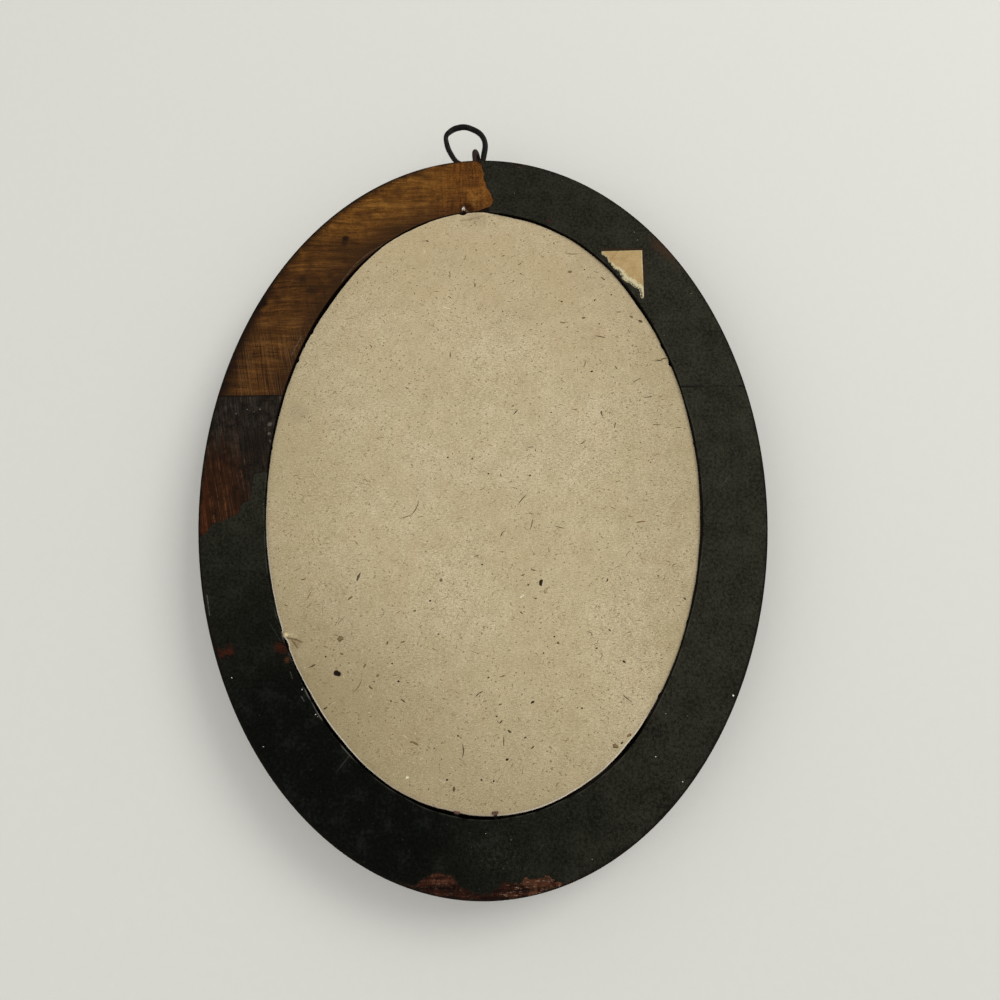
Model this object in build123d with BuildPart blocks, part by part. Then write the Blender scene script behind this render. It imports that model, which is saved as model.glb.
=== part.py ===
"""Oval wooden picture frame, as it hangs on a wall.

The origin is the middle of the oval on the plane of the wall. +Z is up, +Y points into the wall,
and the front of the frame faces -Y. Depths are measured from the wall plane towards the front,
insets from the outer edge of the oval towards its middle. The wood was turned on an oval lathe,
so every contour is an ellipse whose two half axes are less than the outer ones by one inset.
"""
import os
from math import cos, hypot, radians, sin

from build123d import *

os.makedirs("parts", exist_ok=True)

# Wooden rail, sizes in millimetres
outer_half_width = 85.0
outer_half_height = 113.5
wood_depth = 17.0
rail_back_width = 19.8  # outer edge to the rebate's wall
rail_front_width = 24.6  # outer edge to the sight edge
rebate_depth = 6.4
arris_radius = 0.4  # worn outer edge at the back
overrun = 3.0  # how far every cutting tool runs past what it cuts

# Joints of the four segments: heights on the back, left and right as seen from the front
upper_joint_left = 31.1
upper_joint_right = 29.8
lower_joint = -47.1
lap_length = 14.0
lap_depth = 9.0  # thickness of the end segments in the half laps

# Place at the lower left where the rebate is pared away for a board that was cut too full
paring_turn = 232.0
paring_radius = 30.0
paring_depth = 1.0

# Backing paper and the corner of a label that is left on it
paper_thickness = 0.3
paper_edge_inset = 0.45  # clears the worn edge
paper_back_width = 19.5
label_thickness = 0.15

# What lies in the rebate
slip_thickness = 0.8
slip_sight_width = 2.3  # how far the slip shows inside the sight edge
slip_rise = 2.4
slip_slope = 1.3
slip_clearance = 0.3
glass_thickness = 2.0
glass_clearance = 0.5
glass_ease = 0.25
card_thickness = 0.6
card_clearance = 0.7
board_thickness = 2.2
board_side_gap = 0.25  # board to the rebate's wall at the sides
board_end_gap = 0.85  # and at the top and bottom, with the board in the middle
board_lift = 0.35  # the board sits high in its rebate
board_turn = 0.46
board_clearance = 0.15
board_shy = 0.3  # how far its full place stays short of the pared rebate
nick_turns = (26.9, 154.9)
nick_radius = 0.7

# Brads: heads in the gap between the board and the wood, shanks driven into the rebate's wall
brad_length = 9.0
brad_radius = 0.45
brad_head_radius = 0.85
brad_head_thickness = 0.45
brad_head_inset = 0.1  # heads stay this far below the wall plane
brad_point_length = 1.5
brad_point_radius = 0.35
brad_slope = 22.0
brad_turns = (267.6, 277.1, 328.7)
brad_head_gaps = (2.2, 1.7, 0.4)  # head to the rebate's wall
bent_brad_turn = 86.3
bent_brad_rise = 0.6  # from the rebate's wall
bent_brad_reach = 2.2
bent_brad_bend = 0.9
bent_brad_lean = 53.0
gouge_radius = 2.5
gouge_depth = 1.5

# Staple at the top, and the hanging ring that swings in it
staple_across = 1.5  # how far the staple stands from the middle
staple_depth = 4.0
staple_gauge = 1.15
staple_width = 4.4  # between the middles of its legs
staple_stand = 3.45  # wood to the middle of its crown
staple_grip = 9.0
staple_turn = 14.0
staple_point = 0.3
ring_gauge = 1.65
ring_width = 13.25  # between the middles of the wire, side to side
ring_depth = 4.2
ring_seat_gap = 0.4  # wire to the edge of the wood
ring_lean = 14.0

wood_back = paper_thickness
shoulder = wood_back + rebate_depth
glass_front = shoulder - slip_thickness
card_front = glass_front - glass_thickness
board_front = card_front - card_thickness
board_back = board_front - board_thickness

# Moulding of the front, as (inset, depth) shares of the rail's front width and the wood's depth
wall_depth_share = 0.44
quirk_shares = (0.04, 0.506)
ogee_shares = [(0.040, 0.506), (0.052, 0.590), (0.110, 0.690), (0.200, 0.750), (0.300, 0.785)]
crest_shares = [(0.322, 0.785), (0.330, 0.875), (0.365, 0.950), (0.425, 0.990), (0.490, 1.000)]
crest_inside_shares = [(0.545, 1.000), (0.605, 0.960), (0.632, 0.880)]
hollow_shares = [(0.650, 0.880), (0.690, 0.800), (0.785, 0.730), (0.915, 0.690)]
sight_bead_shares = [(0.932, 0.690), (0.982, 0.655), (1.000, 0.600)]

# Where the paper is torn away, as shares of the outer half axes: all of the upper right with the
# top of the rail, and a worn strip along the bottom edge
bare_top_shares = [
    (-0.006, 1.100), (-0.0055, 0.9807), (-0.0130, 0.9466), (-0.0281, 0.8958), (-0.0435, 0.8756),
    (-0.0512, 0.8655), (-0.0273, 0.8292), (-0.020, 0.750), (0.600, 0.060), (0.8180, 0.0433),
    (0.8117, -0.0278), (0.8526, -0.0409), (0.8538, -0.0651), (0.9453, -0.0910),
    (0.9631, -0.1201), (0.9833, -0.1252), (1.100, -0.130), (1.100, 1.100),
]
worn_bottom_shares = [
    (0.260, -1.100), (0.2401, -0.9632), (0.1656, -0.9361), (0.1187, -0.9365), (0.0843, -0.9583),
    (0.0407, -0.9800), (-0.0028, -0.9826), (-0.0122, -0.9741), (-0.0467, -0.9638),
    (-0.0968, -0.9558), (-0.2188, -0.9505), (-0.2277, -0.9613), (-0.240, -1.100),
]

# Corner of the label: two straight cut edges, and a torn edge towards the opening
label_shares = [
    (-0.4585, 0.6934), (-0.6155, 0.6919), (-0.6142, 0.5527), (-0.5982, 0.5404),
    (-0.5985, 0.5685), (-0.5762, 0.5749), (-0.5509, 0.5908), (-0.5411, 0.6130),
    (-0.5007, 0.6355),
]

# Corners of the ring's middle line, as (across, along, radius) shares of its width
ring_shares = [
    (-0.152, 0.0, 0.196), (-0.261, 0.744, 0.437), (0.300, 1.047, 0.473),
    (0.786, 0.765, 0.153), (0.762, 0.443, 0.885), (0.485, 0.0, 0.343),
]


def contour(inset):
    """The two half axes of the ellipse that lies inset within the outer edge."""
    return outer_half_width - inset, outer_half_height - inset


def contour_point(inset, turn):
    """A point (across, up) on the ellipse at this inset, and the outward normal there."""
    across, up = contour(inset)
    c, s = cos(radians(turn)), sin(radians(turn))
    size = hypot(up * c, across * s)
    return (across * c, up * s), (up * c / size, across * s / size)


def outline(shares):
    """Points for a table of shares of the two outer half axes."""
    return [(a * outer_half_width, b * outer_half_height) for a, b in shares]


def brad(head, direction):
    """A round brad: a flat head, a straight shank and a point, along one direction."""
    with BuildPart() as pin:
        with BuildSketch(Plane(head, z_dir=direction)):
            Circle(brad_head_radius)
        extrude(amount=brad_head_thickness)
        with BuildSketch(Plane(head, z_dir=direction)):
            Circle(brad_radius)
        extrude(amount=brad_length)
        tip = pin.faces().sort_by(Axis(head, direction))[-1]
        chamfer(tip.edges(), length=brad_point_length, length2=brad_point_radius)
    return pin.part


# Straight brads: each head lies just over the board, and the shank slopes into the wood
brad_across, brad_down = cos(radians(brad_slope)), sin(radians(brad_slope))
head_depth = brad_head_radius * brad_across + brad_head_inset
straight_brads = []
for turn, gap in zip(brad_turns, brad_head_gaps):
    (across, up), (out_across, out_up) = contour_point(rail_back_width, turn)
    head = (across - gap * out_across, -head_depth, up - gap * out_up)
    aim = (brad_across * out_across, -brad_down, brad_across * out_up)
    straight_brads.append(brad(head, aim))
with BuildPart() as backing_brads:
    add(straight_brads)
backing_brads.part.label = "backing_brads"
export_step(backing_brads.part, "parts/backing_brads.step")

# Bent brad at the top: driven into the wood, then bent flat, so its head lies in a gouge
(foot_across, foot_up), foot_normal = contour_point(rail_back_width - bent_brad_rise, bent_brad_turn)
lying_y = -wood_back - brad_head_radius
lean_across, lean_up = sin(radians(bent_brad_lean)), cos(radians(bent_brad_lean))
with BuildPart() as bent_brad:
    with BuildLine() as bent_line:
        FilletPolyline(
            (foot_across + bent_brad_reach * lean_across, lying_y, foot_up + bent_brad_reach * lean_up),
            (foot_across, lying_y, foot_up),
            (foot_across, lying_y - brad_length / 2, foot_up + brad_length / 4),
            radius=bent_brad_bend,
        )
    with BuildSketch(Plane(bent_line.wire() @ 0, z_dir=bent_line.wire() % 0)):
        Circle(brad_radius)
    sweep()
    with BuildSketch(Plane(bent_line.wire() @ 0, z_dir=bent_line.wire() % 0)):
        Circle(brad_head_radius)
    extrude(amount=brad_head_thickness)
bent_brad.part.label = "bent_brad"
export_step(bent_brad.part, "parts/bent_brad.step")

# Gouge in the top rail, broken out of the rebate's edge, where the bent brad lies
with BuildPart() as gouge:
    with Locations((
        foot_across + bent_brad_reach * lean_across / 2,
        gouge_radius - gouge_depth - wood_back,
        foot_up + bent_brad_reach * lean_up / 2,
    )):
        Sphere(gouge_radius)

# Staple: two legs and a round crown, turned a little, driven into the top edge
staple_half = staple_width / 2
staple_radius = staple_gauge / 2
turn_sine, turn_cosine = sin(radians(staple_turn)), cos(radians(staple_turn))
staple_plane = Plane(
    origin=(staple_across, -staple_depth, outer_half_height),
    x_dir=(turn_sine, turn_cosine, 0),
    z_dir=(turn_cosine, -turn_sine, 0),
)
with BuildPart() as hanger_staple:
    with BuildLine(staple_plane) as staple_line:
        near_leg = Line((staple_half, -staple_grip), (staple_half, staple_stand))
        CenterArc((0, staple_stand), staple_half, 0, 180)
        Line((-staple_half, staple_stand), (-staple_half, -staple_grip))
    with BuildSketch(Plane(near_leg @ 0, z_dir=near_leg % 0)):
        Circle(staple_radius)
    sweep()
    chamfer(hanger_staple.faces().filter_by(GeomType.PLANE).edges(), staple_point)
hanger_staple.part.label = "hanger_staple"
export_step(hanger_staple.part, "parts/hanger_staple.step")

# Hanging ring: one bent wire, out of round, whose straight side lies in the staple
ring_radius = ring_gauge / 2
ring_plane = Plane(
    origin=(staple_across, -ring_depth, outer_half_height + ring_seat_gap + ring_radius),
    x_dir=(1, 0, 0),
    z_dir=(0, -cos(radians(ring_lean)), sin(radians(ring_lean))),
)
with BuildPart() as hanging_ring:
    with BuildLine(ring_plane) as ring_line:
        FilletPolyline(
            *[(a * ring_width, b * ring_width) for a, b, c in ring_shares],
            radius=[c * ring_width for a, b, c in ring_shares],
            close=True,
        )
    with BuildSketch(Plane(ring_line.wire() @ 0, z_dir=ring_line.wire() % 0)):
        Circle(ring_radius)
    sweep()
hanging_ring.part.label = "hanging_ring"
export_step(hanging_ring.part, "parts/hanging_ring.step")

# Pared place of the rebate: a short arc cut deeper than the oval, for the full edge of the board
(pared_across, pared_up), pared_normal = contour_point(rail_back_width, paring_turn)
paring_reach = paring_radius - paring_depth
paring_centre = (
    pared_across - pared_normal[0] * paring_reach,
    pared_up - pared_normal[1] * paring_reach,
)

# Whole turned oval with its moulding, and with every seat cut, before it is divided
moulding = [
    (ogee_shares, Mode.ADD),
    (crest_shares, Mode.ADD),
    (crest_inside_shares, Mode.SUBTRACT),
    (hollow_shares, Mode.SUBTRACT),
    (sight_bead_shares, Mode.SUBTRACT),
]
with BuildPart() as carcass:
    with BuildSketch(Plane.XZ.offset(wood_back)):
        Ellipse(outer_half_width, outer_half_height)
    extrude(amount=wall_depth_share * wood_depth)
    fillet(carcass.faces().sort_by(Axis.Y)[-1].edges(), arris_radius)
    with BuildSketch(Plane.XZ.offset(wood_back + wall_depth_share * wood_depth)):
        Ellipse(*contour(quirk_shares[0] * rail_front_width))
    extrude(amount=(quirk_shares[1] - wall_depth_share) * wood_depth)
    for shares, mode in moulding:
        for inset_share, depth_share in shares:
            with BuildSketch(Plane.XZ.offset(wood_back + depth_share * wood_depth)):
                Ellipse(*contour(inset_share * rail_front_width))
        loft(mode=mode)
    with BuildSketch(Plane.XZ.offset(shoulder)):
        Ellipse(*contour(rail_front_width))
    extrude(amount=wood_depth, mode=Mode.SUBTRACT)
    with BuildSketch(Plane.XZ.offset(wood_back)):
        Ellipse(*contour(rail_back_width))
    extrude(amount=rebate_depth, mode=Mode.SUBTRACT)
    with BuildSketch(Plane.XZ.offset(wood_back)):
        with Locations(paring_centre):
            Circle(paring_radius)
    extrude(amount=board_front - wood_back, mode=Mode.SUBTRACT)
    add(gouge.part, mode=Mode.SUBTRACT)
    add(hanger_staple.part, mode=Mode.SUBTRACT)
    add(bent_brad.part, mode=Mode.SUBTRACT)
    add(backing_brads.part, mode=Mode.SUBTRACT)

# Regions of the end segments, which lap over the side segments at the back
far_across = outer_half_width + overrun
far_up = outer_half_height + overrun
lap_plane = wood_back + lap_depth
with BuildPart() as top_region:
    for rise, reach in ((0, -lap_plane), (lap_length, wood_depth)):
        with BuildSketch(Plane.XZ.offset(lap_plane)):
            with BuildLine():
                Polyline(
                    (-far_across, upper_joint_left + rise), (far_across, upper_joint_right + rise),
                    (far_across, far_up), (-far_across, far_up),
                    close=True,
                )
            make_face()
        extrude(amount=reach)
with BuildPart() as bottom_region:
    for drop, reach in ((0, -lap_plane), (lap_length, wood_depth)):
        with BuildSketch(Plane.XZ.offset(lap_plane)):
            with BuildLine():
                Polyline(
                    (-far_across, lower_joint - drop), (far_across, lower_joint - drop),
                    (far_across, -far_up), (-far_across, -far_up),
                    close=True,
                )
            make_face()
        extrude(amount=reach)

# The four segments of the rail
with BuildPart() as top_segment:
    add(carcass.part)
    add(top_region.part, mode=Mode.INTERSECT)
top_segment.part.label = "top_segment"
export_step(top_segment.part, "parts/top_segment.step")

with BuildPart() as bottom_segment:
    add(carcass.part)
    add(bottom_region.part, mode=Mode.INTERSECT)
bottom_segment.part.label = "bottom_segment"
export_step(bottom_segment.part, "parts/bottom_segment.step")

for label, side in (("left_segment", Align.MAX), ("right_segment", Align.MIN)):
    with BuildPart() as side_segment:
        add(carcass.part)
        Box(
            far_across, 2 * far_up, 2 * far_up,
            align=(side, Align.CENTER, Align.CENTER),
            mode=Mode.INTERSECT,
        )
        add(top_region.part, mode=Mode.SUBTRACT)
        add(bottom_region.part, mode=Mode.SUBTRACT)
    side_segment.part.label = label
    export_step(side_segment.part, f"parts/{label}.step")

# Gilt slip: a thin flange behind the rebate's shoulder, and a sloped lip inside the sight edge
slip_sight_inset = rail_front_width + slip_sight_width
with BuildPart() as gilt_slip:
    with BuildSketch(Plane.XZ.offset(glass_front)):
        Ellipse(*contour(rail_back_width + slip_clearance))
    extrude(amount=slip_thickness)
    with BuildSketch(Plane.XZ.offset(shoulder)):
        Ellipse(*contour(rail_front_width + slip_clearance))
    extrude(amount=slip_rise)
    with BuildSketch(Plane.XZ.offset(glass_front)):
        Ellipse(*contour(slip_sight_inset))
    with BuildSketch(Plane.XZ.offset(shoulder)):
        Ellipse(*contour(slip_sight_inset))
    with BuildSketch(Plane.XZ.offset(shoulder + slip_rise)):
        Ellipse(*contour(slip_sight_inset - slip_slope))
    loft(ruled=True, mode=Mode.SUBTRACT)
gilt_slip.part.label = "gilt_slip"
export_step(gilt_slip.part, "parts/gilt_slip.step")

# Glass, with its cut edge just eased
with BuildPart() as glass_pane:
    with BuildSketch(Plane.XZ.offset(card_front)):
        Ellipse(*contour(rail_back_width + glass_clearance))
    extrude(amount=glass_thickness)
    chamfer(glass_pane.faces().filter_by(GeomType.PLANE).edges(), glass_ease)
glass_pane.part.label = "glass_pane"
export_step(glass_pane.part, "parts/glass_pane.step")

# Blank card behind the glass
with BuildPart() as picture_card:
    with BuildSketch(Plane.XZ.offset(board_front)):
        Ellipse(*contour(rail_back_width + card_clearance))
    extrude(amount=card_thickness)
picture_card.part.label = "picture_card"
export_step(picture_card.part, "parts/picture_card.step")

# Backing board: cut by hand, a little turned, full at one place and nicked at two others
board_half_width = outer_half_width - rail_back_width - board_side_gap
board_half_height = outer_half_height - rail_back_width - board_end_gap
with BuildPart() as backing_board:
    with BuildSketch(Plane.XZ.offset(board_back)):
        with Locations((0, board_lift)):
            Ellipse(board_half_width, board_half_height, rotation=-board_turn)
        with Locations(paring_centre):
            Circle(paring_radius - board_clearance - board_shy)
        with Locations(*[contour_point(rail_back_width + board_side_gap, turn)[0] for turn in nick_turns]):
            Circle(nick_radius, mode=Mode.SUBTRACT)
    extrude(amount=board_thickness)
    add(backing_brads.part, mode=Mode.SUBTRACT)
backing_board.part.label = "backing_board"
export_step(backing_board.part, "parts/backing_board.step")

# Corner of the label, let into the paper so that both are level
with BuildPart() as label_corner:
    with BuildSketch(Plane.XZ):
        with BuildLine():
            Polyline(*outline(label_shares), close=True)
        make_face()
    extrude(amount=label_thickness)
label_corner.part.label = "label_corner"
export_step(label_corner.part, "parts/label_corner.step")

# Backing paper, glued over the back of the wood and torn away at the upper right
with BuildPart() as backing_paper:
    with BuildSketch(Plane.XZ):
        Ellipse(*contour(paper_edge_inset))
        Ellipse(*contour(paper_back_width), mode=Mode.SUBTRACT)
        for torn_shares in (bare_top_shares, worn_bottom_shares):
            with BuildLine():
                Polyline(*outline(torn_shares), close=True)
            make_face(mode=Mode.SUBTRACT)
    extrude(amount=paper_thickness)
    add(label_corner.part, mode=Mode.SUBTRACT)
backing_paper.part.label = "backing_paper"
export_step(backing_paper.part, "parts/backing_paper.step")
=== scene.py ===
"""Looks of the oval picture frame: paper, board, wood, wire, and the light on them.

All places are in the row's frame: +Z is up along the oval, +Y points out of the back. Shapes are
worked out in millimetres and turned into metres where a mesh is made. The materials read Object
coordinates times 1000, so they think in millimetres too. Camera and lamps are placed in metres.
"""

import bpy
import numpy as np
from mathutils import Matrix, Vector


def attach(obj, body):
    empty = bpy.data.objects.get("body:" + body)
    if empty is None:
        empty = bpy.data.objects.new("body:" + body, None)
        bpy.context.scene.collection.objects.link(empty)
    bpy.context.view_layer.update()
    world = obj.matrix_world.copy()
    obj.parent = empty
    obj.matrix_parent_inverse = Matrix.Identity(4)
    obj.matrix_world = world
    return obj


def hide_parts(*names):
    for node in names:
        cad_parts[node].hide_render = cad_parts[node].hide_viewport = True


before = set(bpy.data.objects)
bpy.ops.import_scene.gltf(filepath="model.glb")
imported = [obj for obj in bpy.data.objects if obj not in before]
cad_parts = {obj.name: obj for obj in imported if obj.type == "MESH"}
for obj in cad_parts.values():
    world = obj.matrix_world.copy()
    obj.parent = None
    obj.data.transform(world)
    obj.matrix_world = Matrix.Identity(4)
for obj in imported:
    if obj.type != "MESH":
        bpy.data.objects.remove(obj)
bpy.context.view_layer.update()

MM = 0.001
HALF_WIDTH, HALF_HEIGHT = 85.0, 113.5
BACKDROP = (214, 213, 206)


# ---- camera and lamps

def set_camera():
    """The camera of the photograph, fitted to the two ovals, the joints and the ring."""
    data = bpy.data.cameras.new("camera")
    data.lens, data.sensor_width, data.sensor_fit = 26.67, 36.0, "HORIZONTAL"
    data.clip_start, data.clip_end = 0.005, 10.0
    camera = bpy.data.objects.new("camera", data)
    right = Vector((-0.9999, 0.0007, -0.0127)).normalized()
    back = Vector((0.0037, 0.9717, -0.2362)).normalized()
    up = back.cross(right).normalized()
    turn = Matrix((right, up, back)).transposed().to_4x4()
    camera.matrix_world = Matrix.Translation((-0.004215, 0.214911, -0.056639)) @ turn
    bpy.context.scene.collection.objects.link(camera)
    bpy.context.scene.camera = camera


def lamp(name, place, size, watts):
    """A soft square lamp at a place, turned to the middle of the frame."""
    data = bpy.data.lights.new(name, "AREA")
    data.shape, data.size, data.energy = "SQUARE", size, watts
    thing = bpy.data.objects.new(name, data)
    thing.location = place
    thing.rotation_euler = (-Vector(place)).to_track_quat("-Z", "Y").to_euler()
    bpy.context.scene.collection.objects.link(thing)


# ---- tools for materials

def paint(red, green, blue):
    """A colour given as it shows on a screen, 0 to 255, as linear light."""
    share = np.array([red, green, blue]) / 255.0
    light = np.where(share <= 0.04045, share / 12.92, ((share + 0.055) / 1.055) ** 2.4)
    return (*light.tolist(), 1.0)


class Value:
    """A number or a colour that varies over a surface. Sums on it add Math nodes."""

    def __init__(self, bench, socket):
        self.bench, self.socket = bench, socket

    def math(self, operation, *others, clamp=False):
        return self.bench.node("ShaderNodeMath", {"operation": operation, "use_clamp": clamp},
                               dict(enumerate((self,) + others)))

    def turned_round(self, operation, other):
        return self.bench.node("ShaderNodeMath", {"operation": operation}, {0: other, 1: self})

    def __add__(self, other): return self.math("ADD", other)
    __radd__ = __add__
    def __sub__(self, other): return self.math("SUBTRACT", other)
    def __rsub__(self, other): return self.turned_round("SUBTRACT", other)
    def __mul__(self, other): return self.math("MULTIPLY", other)
    __rmul__ = __mul__
    def __truediv__(self, other): return self.math("DIVIDE", other)
    def __rtruediv__(self, other): return self.turned_round("DIVIDE", other)
    def __pow__(self, power): return self.math("POWER", power)
    def __neg__(self): return self.math("MULTIPLY", -1.0)
    def __abs__(self): return self.math("ABSOLUTE")

    def floor_at(self, least): return self.math("MAXIMUM", least)
    def cap_at(self, most): return self.math("MINIMUM", most)
    def unit(self): return self.math("ADD", 0.0, clamp=True)

    def between(self, low, high):
        """0 below low, 1 above high, a smooth step from one to the other; high may be the lower."""
        return self.bench.node("ShaderNodeMapRange", {"interpolation_type": "SMOOTHSTEP"},
                               {"Value": self, "From Min": low, "From Max": high})

    def sway(self, size):
        """Noise of 0 to 1 as a swing about nothing, half the size either way."""
        return (self - 0.5) * size

    def under(self, red, green, blue, share):
        """This colour under a layer of paint, which covers it by a share, held to 0 to 1."""
        return self.bench.mix(self, (red, green, blue), share)


class Bench:
    """One material on the bench: its node tree, its shader and the surface's coordinates in mm."""

    def __init__(self, name):
        self.material = bpy.data.materials.new(name)
        self.material.use_nodes = True
        self.tree = self.material.node_tree
        self.shader = self.tree.nodes["Principled BSDF"]
        place = self.node("ShaderNodeTexCoord", out="Object")
        self.place = self.node("ShaderNodeVectorMath", {"operation": "SCALE"},
                               {0: place, "Scale": 1000.0}, out="Vector")
        self.x, self.y, self.z = (self.node("ShaderNodeSeparateXYZ", {}, {0: self.place}, out=k)
                                  for k in "XYZ")

    def feed(self, way_in, value):
        """Gives one input its link where the value varies, or else its plain number or colour."""
        if isinstance(value, Value):
            self.tree.links.new(value.socket, way_in)
        else:
            way_in.default_value = value

    def node(self, kind, settings=None, inputs=None, out=0):
        """Adds one node: its settings first, then a number, colour or link for each named input."""
        made = self.tree.nodes.new(kind)
        for key, value in (settings or {}).items():
            setattr(made, key, value)
        for key, value in (inputs or {}).items():
            self.feed(made.inputs[key], value)
        return Value(self, made.outputs[out])

    def ramp(self, share, stops):
        """Colours along a scale. Each stop is (its place on the scale, red, green, blue)."""
        colour = self.node("ShaderNodeValToRGB", {}, {0: share}, out="Color")
        marks = colour.socket.node.color_ramp.elements
        while len(marks) < len(stops):
            marks.new(1.0)
        for mark, (place, *screen) in zip(marks, stops):
            mark.position, mark.color = place, paint(*screen)
        return colour

    def mix(self, first, second, share):
        """Blends two colours by a share, held to 0 to 1. A plain colour is given as for paint."""
        first, second = (c if isinstance(c, Value) else paint(*c) for c in (first, second))
        return self.node("ShaderNodeMix", {"data_type": "RGBA"}, {0: share, 6: first, 7: second}, out=2)

    def mark(self, name):
        """A number that the mesh carries at its points."""
        return self.node("ShaderNodeAttribute", {"attribute_name": name}, out="Fac")

    def vector(self, x, y, z):
        return self.node("ShaderNodeCombineXYZ", {}, {0: x, 1: y, 2: z})

    def placed(self, shift, stretch=(1, 1, 1), at=None):
        """Coordinates moved by a shift and drawn out by a stretch."""
        return self.node("ShaderNodeMapping", {}, {"Vector": at or self.place, "Scale": stretch,
                                                   "Location": (shift, shift * 0.7, shift * 1.3)})

    def noise(self, scale, detail=4, rough=0.55, shift=0, stretch=(1, 1, 1), at=None):
        """Cloudy noise of 0 to 1 with about `scale` lumps a millimetre."""
        return self.node("ShaderNodeTexNoise", {}, {"Vector": self.placed(shift, stretch, at),
                         "Scale": scale, "Detail": detail, "Roughness": rough})

    def cells(self, scale, feature="F1", shift=0):
        """Distance to scattered points, about `scale` of them a millimetre."""
        return self.node("ShaderNodeTexVoronoi", {"feature": feature},
                         {"Vector": self.placed(shift), "Scale": scale}, out="Distance")

    def finish(self, colour, rough, height=None, bump=0.0, reach=0.0, **others):
        """Feeds the shader: colour, roughness, a height that bumps the light, and others by name."""
        inputs = {"Base Color": colour, "Roughness": rough}
        if height is not None:
            inputs["Normal"] = self.node("ShaderNodeBump", {}, {"Strength": bump, "Distance": reach,
                                                               "Height": height}, out="Normal")
        inputs.update((name.replace("_", " "), value) for name, value in others.items())
        for name, value in inputs.items():
            self.feed(self.shader.inputs[name], value)
        return self.material


def dress(node, material):
    """Gives a CAD node its finish."""
    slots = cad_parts[node].data.materials
    slots.clear()
    slots.append(material)


# ---- floor and world

def set_floor():
    """Pale floor that the frame lies on, face down as in the photograph: seen from the back's
    side only, so that it never stands in front of the moulding."""
    half, low = 3.0, -17.45 * MM
    mesh = bpy.data.meshes.new("floor")
    corners = [(-half, low, -half), (-half, low, half), (half, low, half), (half, low, -half)]
    mesh.from_pydata(corners, [], [(0, 1, 2, 3)])
    floor = bpy.data.objects.new("floor", mesh)
    bpy.context.scene.collection.objects.link(floor)
    bench = Bench("floor")
    tone = bench.mix(BACKDROP, (222, 221, 214), bench.noise(0.35, 3) * 0.4)
    mesh.materials.append(bench.finish(tone, 0.9, Specular_IOR_Level=0.1))
    behind = bench.node("ShaderNodeNewGeometry", out="Backfacing")
    clear = bench.node("ShaderNodeBsdfTransparent")
    both = bench.node("ShaderNodeMixShader", {},
                      {0: behind, 1: Value(bench, bench.shader.outputs[0]), 2: clear})
    bench.feed(bench.tree.nodes["Material Output"].inputs["Surface"], both)
    floor.visible_shadow = floor.visible_diffuse = floor.visible_glossy = False
    floor.visible_transmission = floor.visible_volume_scatter = False


def set_world():
    """Even pale light all round; the eye sees a plain pale backdrop."""
    world = bpy.data.worlds.new("room")
    world.use_nodes = True
    bpy.context.scene.world = world
    nodes, link = world.node_tree.nodes, world.node_tree.links.new
    light, seen = nodes["Background"], nodes.new("ShaderNodeBackground")
    light.inputs["Color"].default_value = (1.0, 1.0, 1.0, 1.0)
    light.inputs["Strength"].default_value = 0.68
    seen.inputs["Color"].default_value = paint(*BACKDROP)
    path = nodes.new("ShaderNodeLightPath")
    share = path.outputs["Is Camera Ray"]
    for ray in ("Is Glossy Ray", "Is Transmission Ray"):
        larger = nodes.new("ShaderNodeMath")
        larger.operation = "MAXIMUM"
        link(share, larger.inputs[0])
        link(path.outputs[ray], larger.inputs[1])
        share = larger.outputs[0]
    both = nodes.new("ShaderNodeMixShader")
    for way_in, socket in enumerate((share, light.outputs[0], seen.outputs[0])):
        link(socket, both.inputs[way_in])
    link(both.outputs[0], nodes["World Output"].inputs["Surface"])


# ---- tools for shapes

def quads(points, wrap_rows=False, wrap_columns=False):
    """Four-sided faces between neighbouring points of a grid, as rows of point numbers."""
    rows, columns = points.shape[:2]
    i = np.arange(rows if wrap_rows else rows - 1)[:, None]
    j = np.arange(columns if wrap_columns else columns - 1)[None, :]
    number = lambda a, b: (a % rows) * columns + b % columns
    corners = [number(i, j), number(i, j + 1), number(i + 1, j + 1), number(i + 1, j)]
    return np.stack(corners, -1).reshape(-1, 4)


def make_piece(name, points, faces, material, stands_for=(), marks=None, sharp=None, body="frame"):
    """Puts points, in mm, and faces into a mesh that rides on a body; marks are numbers by point.
    Where the faces enclose less than nothing they point inwards, and are turned round."""
    points = points.reshape(-1, 3)
    corners = [points[part] for part in faces]
    volume = sum(np.einsum("ij,ij->", c[:, 0], np.cross(c[:, k], c[:, k + 1]))
                 for c in corners for k in range(1, c.shape[1] - 1))
    faces = [part if volume > 0 else part[:, ::-1] for part in faces]
    mesh = bpy.data.meshes.new(name)
    mesh.from_pydata((points * MM).tolist(), [], [face for part in faces for face in part.tolist()])
    mesh.polygons.foreach_set("use_smooth", np.ones(len(mesh.polygons), bool))
    for key, values in (marks or {}).items():
        numbers = mesh.attributes.new(key, "FLOAT", "POINT").data
        numbers.foreach_set("value", values.astype(np.float32).ravel())
    if sharp:
        mesh.set_sharp_from_angle(angle=np.radians(sharp))
    mesh.materials.append(material)
    mesh.update()
    piece = bpy.data.objects.new(name, mesh)
    bpy.context.scene.collection.objects.link(piece)
    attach(piece, body)
    if stands_for:
        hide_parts(*stands_for)


def capped(rings):
    """A closed skin over rings of points: the first and last ring each close on a pole at their mean."""
    rows, columns = rings.shape[:2]
    j = np.arange(columns)
    ahead, last = (j + 1) % columns, (rows - 1) * columns
    start = np.stack([np.full(columns, rows * columns), ahead, j], -1)
    end = np.stack([np.full(columns, rows * columns + 1), last + j, last + ahead], -1)
    points = np.vstack([rings.reshape(-1, 3), rings[0].mean(0), rings[-1].mean(0)])
    return points, [quads(rings, wrap_columns=True), start, end]


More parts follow.
